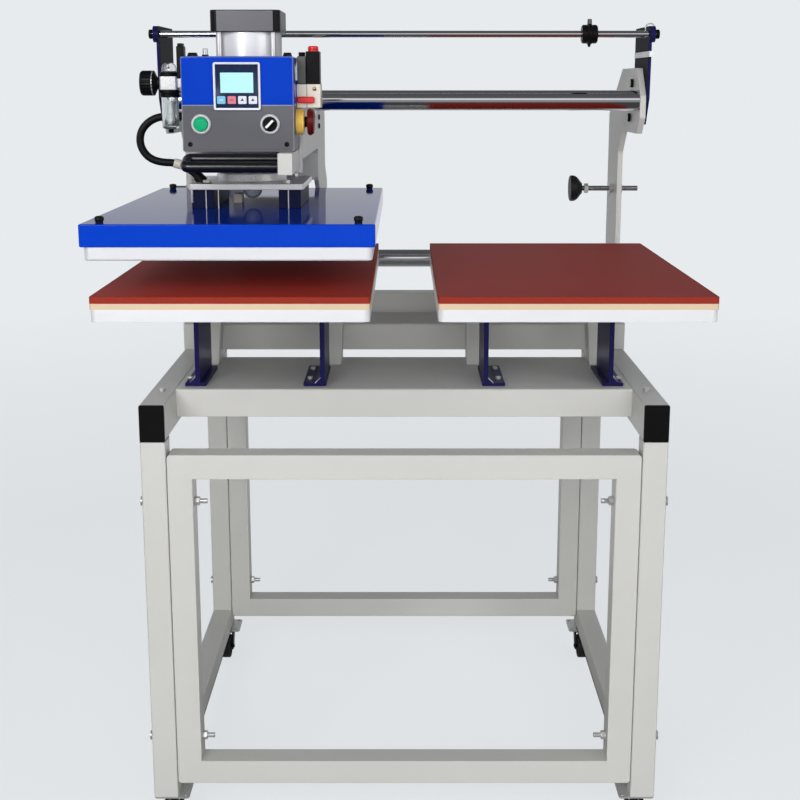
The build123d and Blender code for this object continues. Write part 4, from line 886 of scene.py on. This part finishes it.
def makeRegulatorKnob():
    low, high, (_, y, z) = boxOf("regulator_knob")
    radius, length, steps = (high.z - low.z) / 2, high.x - low.x, knobLook["steps"]
    profile = [(0, 0), (0.009, 0), (0.012, 0.002), (radius - 0.001, 0.0045), (radius, 0.0055),
        (radius, length - 0.003), (radius - 0.0015, length - 0.0005), (radius - 0.004, length),
        (0, length - 0.0005)]
    knob = addSpun("blackPlastic", profile, (high.x, y, z), (-1, 0, 0), steps)
    # every third strip of the rim is pressed in, for grip
    for vertex in knob.data.vertices:
        along = high.x - vertex.co.x
        reach = Vector((0, vertex.co.y - y, vertex.co.z - z))
        if 0.005 < along < length - 0.002 and reach.length > radius - 0.0005:
            strip = round(reach.angle(Vector((0, 1, 0))) / (2 * pi / steps))
            if strip % 3 == 0:
                vertex.co -= reach.normalized() * knobLook["pressed"]
    ring = [(radius - 0.001, 0), (radius, 0.0002), (radius, 0.0014), (radius - 0.001, 0.0016)]
    band = addSpun("satinSilver", ring, (high.x - knobLook["bandAt"], y, z), (-1, 0, 0), steps)
    setParts("regulator_knob", [knob, band], "black_plastic", "regulator_knob")


# distance from the box's middle, radius, height and finish
fittings = ((-0.071, 0.007, 0.006, "blackPlastic"), (-0.052, 0.004, 0.012, "satinSilver"),
            (0.07, 0.006, 0.006, "blackPlastic"))


def makeFittings():
    y = boxOf("air_fittings")[2][1]
    base = boxHigh.z
    parts = []
    for offset, radius, tall, finish in fittings:
        x = (boxLow.x + boxHigh.x) / 2 + offset
        nut = addRound("blackPlastic", radius + 0.0015, (x, y, base), (x, y, base + 0.003), 6)
        parts.append(roundEdges(nut, 0.0005, 2))
        profile = [(0, tall), (radius - 0.0012, tall), (radius, tall - 0.001), (radius, 0), (0, 0)]
        parts.append(addSpun(finish, profile, (x, y, base), upward, 40))
    setParts("air_fittings", parts, "black_plastic")


soften("linear_bearings", "groundSteel", 0.0006, "steel", "carriage", 0.02)
makeCylinder()
makeControlBox()
makeController()
makeKeys()
makeButtons()
makeValve()
makeAirUnit()
makeFittings()
print("control box, controls, cylinder and air unit modelled")

portBlock = {"low": (-0.3375, -0.26, 1.243), "high": (-0.3265, -0.24, 1.294), "capTall": 0.004}
sideBolts = {"y": 0.169, "heights": (1.175, 1.159), "radius": 0.0048, "tall": 0.003}
bandLook = {"bottom": 1.281, "top": 1.291, "thick": 0.0006, "bracket": 0.006, "loopRadius": 0.0085,
    "loopWire": 0.0011}


def makePort():
    # black port block that stands on the regulator's link, beside the box
    low, high, tall = Vector(portBlock["low"]), Vector(portBlock["high"]), portBlock["capTall"]
    body = roundEdges(addBlock("blackPlastic", low, high - Vector((0, 0, tall))), 0.0016, 4)
    cap = addBlock("blackPlastic", (low.x + 0.0015, low.y + 0.002, high.z - tall - 0.001),
        (high.x - 0.0015, high.y - 0.002, high.z))
    setPiece(joinAs("port_block", [body, roundEdges(cap, 0.0012, 3)]), "carriage", "black_plastic")


def makeSideBolts():
    low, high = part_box("carriage_frame")
    face = boxOf("cylinder_caps")[2][0] + (high.x - low.x) / 2
    radius, tall = sideBolts["radius"], sideBolts["tall"]
    profile = [(0, tall - 0.0012), (0.0022, tall - 0.0012), (0.0026, tall), (radius - 0.0008, tall),
        (radius, tall - 0.0008), (radius, 0), (0, 0)]
    heads = [addSpun("blackGloss", profile, (face, sideBolts["y"], z), toRight, 32)
        for z in sideBolts["heights"]]
    setPiece(joinAs("side_bolts", heads), "carriage", "black_plastic")


def makeBracketBand():
    # pale band round the right rod bracket, a painted highlight where the bracket's bend catches light, and a
    # wire loop on its top
    low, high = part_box("rod_brackets")
    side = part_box("end_plates")[1].x
    thick = bandLook["thick"]
    band = addBlock("pointerWhite", (side - thick, low.y - thick, bandLook["bottom"]),
        (side + bandLook["bracket"] + thick, high.y + thick, bandLook["top"]), "bracket_highlight_band")
    setPiece(roundEdges(band, 0.0005, 2), "stand", "white_plastic")
    deselectAll()
    bpy.ops.mesh.primitive_torus_add(major_radius=bandLook["loopRadius"], minor_radius=bandLook["loopWire"],
        major_segments=48, minor_segments=12, rotation=(pi / 2, 0, 0),
        location=(side + 0.003, low.y + 0.02, high.z - 0.004))
    loop = bpy.context.object
    loop.name = "bracket_loop"
    fixPlace(loop)
    setPiece(paint(smooth(loop, 60), "satinSilver"), "stand", "zinc")


makePort()
makeSideBolts()
makeBracketBand()
print("port, side bolts and bracket band modelled")

handleLook = {"radius": 0.0082, "bend": 0.013}


def tubeAlong(finish, points, radius, resolution):
    curve = bpy.data.curves.new("tube", "CURVE")
    setAll(curve, dimensions="3D", bevel_depth=radius, bevel_resolution=resolution, use_fill_caps=True,
        resolution_u=10)
    spline = curve.splines.new("NURBS")
    spline.points.add(len(points) - 1)
    for point, place in zip(spline.points, points):
        point.co = (*place, 1)
    setAll(spline, order_u=3, use_endpoint_u=True)
    pick(addObject("tube", curve))
    bpy.ops.object.convert(target="MESH")
    piece = bpy.context.object
    editAll(piece)
    bpy.ops.mesh.remove_doubles(threshold=1e-6)
    bpy.ops.mesh.normals_make_consistent(inside=False)
    leaveEdit()
    return paint(smooth(piece, 50), finish)


def makeHandle():
    low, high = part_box("handle_grip")
    radius, bend = handleLook["radius"], handleLook["bend"]
    front = Vector((high.x, low.y + radius, low.z + radius))
    back = Vector((high.x, high.y - radius, high.z - radius))
    left = low.x + radius
    across = (back - front).normalized() * bend * 0.9
    corner = Vector((left, front.y, front.z))
    farCorner = Vector((left, back.y, back.z))
    inner = Vector((bend, 0, 0))
    points = [front, (front + corner) / 2, corner + inner, corner, corner + across, farCorner - across,
        farCorner, farCorner + inner, (back + farCorner) / 2, back]
    setParts("handle_grip", [tubeAlong("foamRubber", points, radius, 14)], "black_rubber")


cableLook = {"radius": 0.006, "tagStart": Vector((-0.359, -0.1892, 1.114)),
    "tagEnd": Vector((-0.348, -0.189, 1.111)),
    "route": [(-0.3295, -0.191, 1.186), (-0.358, -0.191, 1.186), (-0.387, -0.192, 1.184),
        (-0.409, -0.192, 1.165), (-0.411, -0.191, 1.137), (-0.391, -0.19, 1.115),
        (-0.3435, -0.189, 1.1137), (-0.3237, -0.189, 1.0939)]}


def makeCable():
    # the same route as the CAD tube's
    points = cableLook["route"]
    tube = tubeAlong("sleeve", points, cableLook["radius"], 8)
    tag = addSpun("ivoryPlastic", [(0.0055, 0), (0.0074, 0.0006), (0.0074, 0.0134), (0.0055, 0.014)],
        cableLook["tagStart"], cableLook["tagEnd"] - cableLook["tagStart"], 40)
    cable = joinAs("heater_cable_shape", [tube, tag])
    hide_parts("heater_cable")
    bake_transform(cable)


makeHandle()
makeCable()
print("handle and cable modelled")

# Press head

coverLook = {"edge": 0.0022, "corner": 0.003, "terminalX": -0.025, "terminalY": 0.006}


def makeCover():
    low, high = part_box("platen_cover")
    x, y = boxOf("heater_plate")[2][:2]
    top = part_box("hanger_bars")[0].z
    cover = addCase("blueGloss", low, (high.x, high.y, top), coverLook["corner"], 5, coverLook["edge"], 4)
    x, y = x + coverLook["terminalX"], y + coverLook["terminalY"]
    terminal = addBlock("ivoryPlastic", (x - 0.007, y, top), (x + 0.007, y + 0.026, top + 0.015))
    roundEdges(terminal, 0.001)
    # the top face gets a darker, less shiny blue: painted shade standing in for its dim reflection
    paintWhere(cover, "blueShadedTop", lambda centre, normal: normal.z > 0.98)
    setParts("platen_cover", [cover, terminal], "blue_paint", "press_head")


def makeCornerKnobs():
    low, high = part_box("corner_knobs")
    radius, tall = 0.0065, high.z - low.z
    profile = [(0, tall), (radius - 0.003, tall), (radius - 0.0008, tall - 0.001), (radius, tall - 0.0025),
        (radius, 0.003), (radius - 0.001, 0.002), (radius - 0.001, 0), (0, 0)]
    knobs = [addSpun("blackPlastic", profile, (x, y, low.z), upward, 48)
        for x in (low.x + radius, high.x - radius) for y in (low.y + radius, high.y - radius)]
    setParts("corner_knobs", knobs, "black_plastic", "press_head")


pressLook = {"thick": 0.009, "corner": 0.006, "flange": 0.055, "dome": 0.0155,
    "glandFoot": Vector((-0.3138, -0.189, 1.084)), "studX": -0.0835}
barLook = {"width": 0.034, "headRadius": 0.006, "headTall": 0.005, "boltX": 0.062, "boltY": 0.074,
    "barFrontRods": (-0.062, -0.043, 0.065), "barRodRadius": 0.001, "washer": 0.0085}


def makePressPlate():
    low, high, (x, y, _) = boxOf("press_plate")
    barLow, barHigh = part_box("hanger_bars")
    # the bars' box ends at the screw heads' tops, which stand on the plate
    top = barHigh.z - barLook["headTall"]
    bottom = top - pressLook["thick"]
    plate = addCase("groundSteel", (low.x, low.y, bottom), (high.x, high.y, top),
        pressLook["corner"], 5, 0.001)
    flange, dome = pressLook["flange"], pressLook["dome"]
    profile = [(0, 0.014), (flange - 0.002, 0.014), (flange, 0.012), (flange, 0.001), (flange + 0.001, 0),
        (0, 0)]
    ring = addSpun("satinSilver", profile, (x, y, top), upward, 96)
    profile = [(0, -0.02), (0.006, -0.0195), (0.011, -0.0165), (0.0142, -0.012), (dome, -0.006),
        (dome, -0.002), (0.017, -0.001), (0.017, 0), (0, 0)]
    nut = addSpun("barrel", profile, (x, y, bottom), upward, 64)
    foot = pressLook["glandFoot"]
    gland = addRound("blackPlastic", 0.0085, foot, foot + Vector((-1, 0, 1)).normalized() * 0.014, 12)
    roundEdges(gland, 0.0006, 2)
    stud = addSpun("satinSilver", [(0, -0.02), (0.0016, -0.02), (0.002, -0.0192), (0.002, 0), (0, 0)],
        (x + pressLook["studX"], low.y + 0.005, bottom), upward, 24)
    setParts("press_plate", [plate, ring, nut, gland, stud], "steel", "press_head")
    makeBars(barLow, barHigh, x, y, bottom, top)


def makeBars(low, high, x, y, bottom, top):
    width, radius, tall = barLook["width"], barLook["headRadius"], barLook["headTall"]
    parts = [roundEdges(addBlock("barNavy", (x0, low.y, low.z), (x0 + width, high.y, bottom)), 0.001, 3)
        for x0 in (low.x, high.x - width)]
    for side in (-1, 1):
        for end in (-1, 1):
            place = Vector((x + side * barLook["boltX"], y + end * barLook["boltY"], top))
            head = addRound("zinc", radius, place, place + Vector((0, 0, tall)), 6)
            parts.append(roundEdges(head, 0.0006, 2))
    y0 = low.y + 0.0006
    # thin silver rods standing on the bars' front faces
    for offset in barLook["barFrontRods"]:
        x0 = x + offset
        silverRod = addRound("satinSilver", barLook["barRodRadius"], (x0, y0, low.z), (x0, y0, bottom), 16)
        parts.append(smooth(silverRod))
    radius = barLook["washer"]
    parts.append(addSpun("blackPlastic", [(0, 0), (radius, 0), (radius, 0.0012), (0, 0.0012)],
        (x - barLook["boltX"], y - barLook["boltY"], top), upward, 40))
    setParts("hanger_bars", parts, "navy_paint", "press_head")


makeCover()
makeCornerKnobs()
makePressPlate()
smooth(soften("press_rods", "chrome", 0.0004, "chrome", "press_head", 0.03), 40)
print("press head modelled")

# Room, light and camera

room = {"floorSize": 24.0, "floorColour": (0.86, 0.87, 0.88, 1), "fadeStart": 1.6, "fadeEnd": 5.0,
    "nearShare": 0.72, "nearGlow": 1.1, "skyLevel": 0.21, "skyColour": (0.93, 0.95, 1.0, 1),
    "pale": (0.8, 0.83, 0.85, 1)}

# brightness of the floor as polished metal shows it, from 12 m in front of the machine to 12 m behind it
dimFloor = ((0.0, 0.3), (0.33, 0.3), (0.375, 0.06), (0.504, 0.06), (0.558, 0.8), (1.0, 0.8))

# brightness of the room behind the camera, from straight down to straight up
dimRoom = ((0.0, 0.03), (0.33, 0.05), (0.375, 0.26), (0.545, 0.28), (0.565, 0.85), (0.68, 0.85), (0.72, 0.12),
    (1.0, 0.09))


def addRamp(tree, stops, source):
    ramp = addNode(tree, "ValToRGB", [("Fac", source)])
    elements = ramp.color_ramp.elements
    while len(elements) < len(stops):
        elements.new(0.5)
    for element, (position, level) in zip(elements, stops):
        element.position = position
        element.color = (level, level, level * 1.03, 1)
    return ramp.outputs["Color"]


def addRays(tree):
    # the view's own rays, and reflected ones
    path = addNode(tree, "LightPath").outputs
    straight = calculate(tree, "MAXIMUM", path["Is Camera Ray"], path["Is Transmission Ray"])
    return straight, path["Is Glossy Ray"]


def makeFloor():
    deselectAll()
    bpy.ops.mesh.primitive_plane_add(size=room["floorSize"], location=(0, 0, 0))
    floor = bpy.context.object
    floor.name = "floor"
    material, tree, shader = newMaterial("floorPale")
    setInputs(shader, Base_Color=room["floorColour"], Roughness=0.55)
    place = addNode(tree, "TexCoord").outputs["Object"]
    reach = addNode(tree, "VectorMath", [(0, place)], operation="LENGTH").outputs["Value"]
    fade = mapRange(tree, reach, room["fadeStart"], room["fadeEnd"], room["nearShare"])
    glow = mapRange(tree, reach, room["fadeStart"], room["fadeEnd"], room["nearGlow"])
    straight, glossy = addRays(tree)
    white = addNode(tree, "Emission", [("Strength", glow)], Color=room["pale"]).outputs[0]
    near = mixShader(tree, calculate(tree, "MULTIPLY", fade, straight), shader.outputs[0], white)
    # reflections show the pale floor behind the machine, and the dim room in front of it
    split = addNode(tree, "SeparateXYZ", [(0, place)])
    half = room["floorSize"] / 2
    level = addRamp(tree, dimFloor, mapRange(tree, split.outputs["Y"], -half, half))
    mirrored = addNode(tree, "Emission", [("Color", level)], Strength=1.0).outputs[0]
    tree.links.new(mixShader(tree, glossy, near, mirrored), tree.nodes["Material Output"].inputs["Surface"])
    floor.data.materials.append(material)


def makeWorld():
    world = bpy.data.worlds.new("room")
    bpy.context.scene.world = world
    world.use_nodes = True
    tree = world.node_tree
    tree.nodes.clear()
    place = addNode(tree, "TexCoord").outputs["Generated"]
    split = addNode(tree, "SeparateXYZ", [(0, place)]).outputs
    ramp = addRamp(tree, dimRoom, mapRange(tree, split["Z"], -1.0, 1.0))
    # a pale wall behind the machine, up to a limited height
    wall = calculate(tree, "MULTIPLY", mapRange(tree, split["Y"], 0.15, 0.55),
        mapRange(tree, split["Z"], 0.3, 0.5, 1.0, 0.0))
    straight, glossy = addRays(tree)
    light = addNode(tree, "Background", Color=room["skyColour"], Strength=room["skyLevel"]).outputs[0]
    shine = addNode(tree, "Background", [("Color", mixColour(tree, wall, ramp, room["pale"]))], Strength=1.0)
    white = addNode(tree, "Background", Color=room["pale"], Strength=1.0).outputs[0]
    first = mixShader(tree, glossy, light, shine.outputs[0])
    addNode(tree, "OutputWorld", [("Surface", mixShader(tree, straight, first, white))])


# place, size, power, and whether it shows in reflections
lamps = {
    "keyLamp": ((-1.4, -3.1, 2.2), 1.3, 42, True),
    "frontLamp": ((0.2, -3.8, 1.5), 2.4, 71, False),
    "fillLamp": ((2.6, -2.2, 1.9), 2.0, 20, True),
}


def makeLamps():
    aim = Vector((0, 0, 0.9))
    for name, (place, size, power, shine) in lamps.items():
        data = bpy.data.lights.new(name, "AREA")
        setAll(data, shape="SQUARE", size=size, energy=power)
        lamp = addObject(name, data)
        setAll(lamp, location=place, visible_glossy=shine)
        lamp.rotation_euler = (aim - lamp.location).to_track_quat("-Z", "Y").to_euler()


def makeCamera():
    data = bpy.data.cameras.new("camera")
    setAll(data, lens=55.56, sensor_width=36, shift_x=-0.00525, shift_y=-0.09875, clip_end=60)
    camera = addObject("camera", data)
    setAll(camera, location=(0, -2.1277, 1.235), rotation_euler=(radians(79.125), 0, 0))
    bpy.context.scene.camera = camera


makeFloor()
makeWorld()
makeLamps()
makeCamera()
bpy.context.scene.view_settings.view_transform = "Standard"
print("room, lamps and camera set")
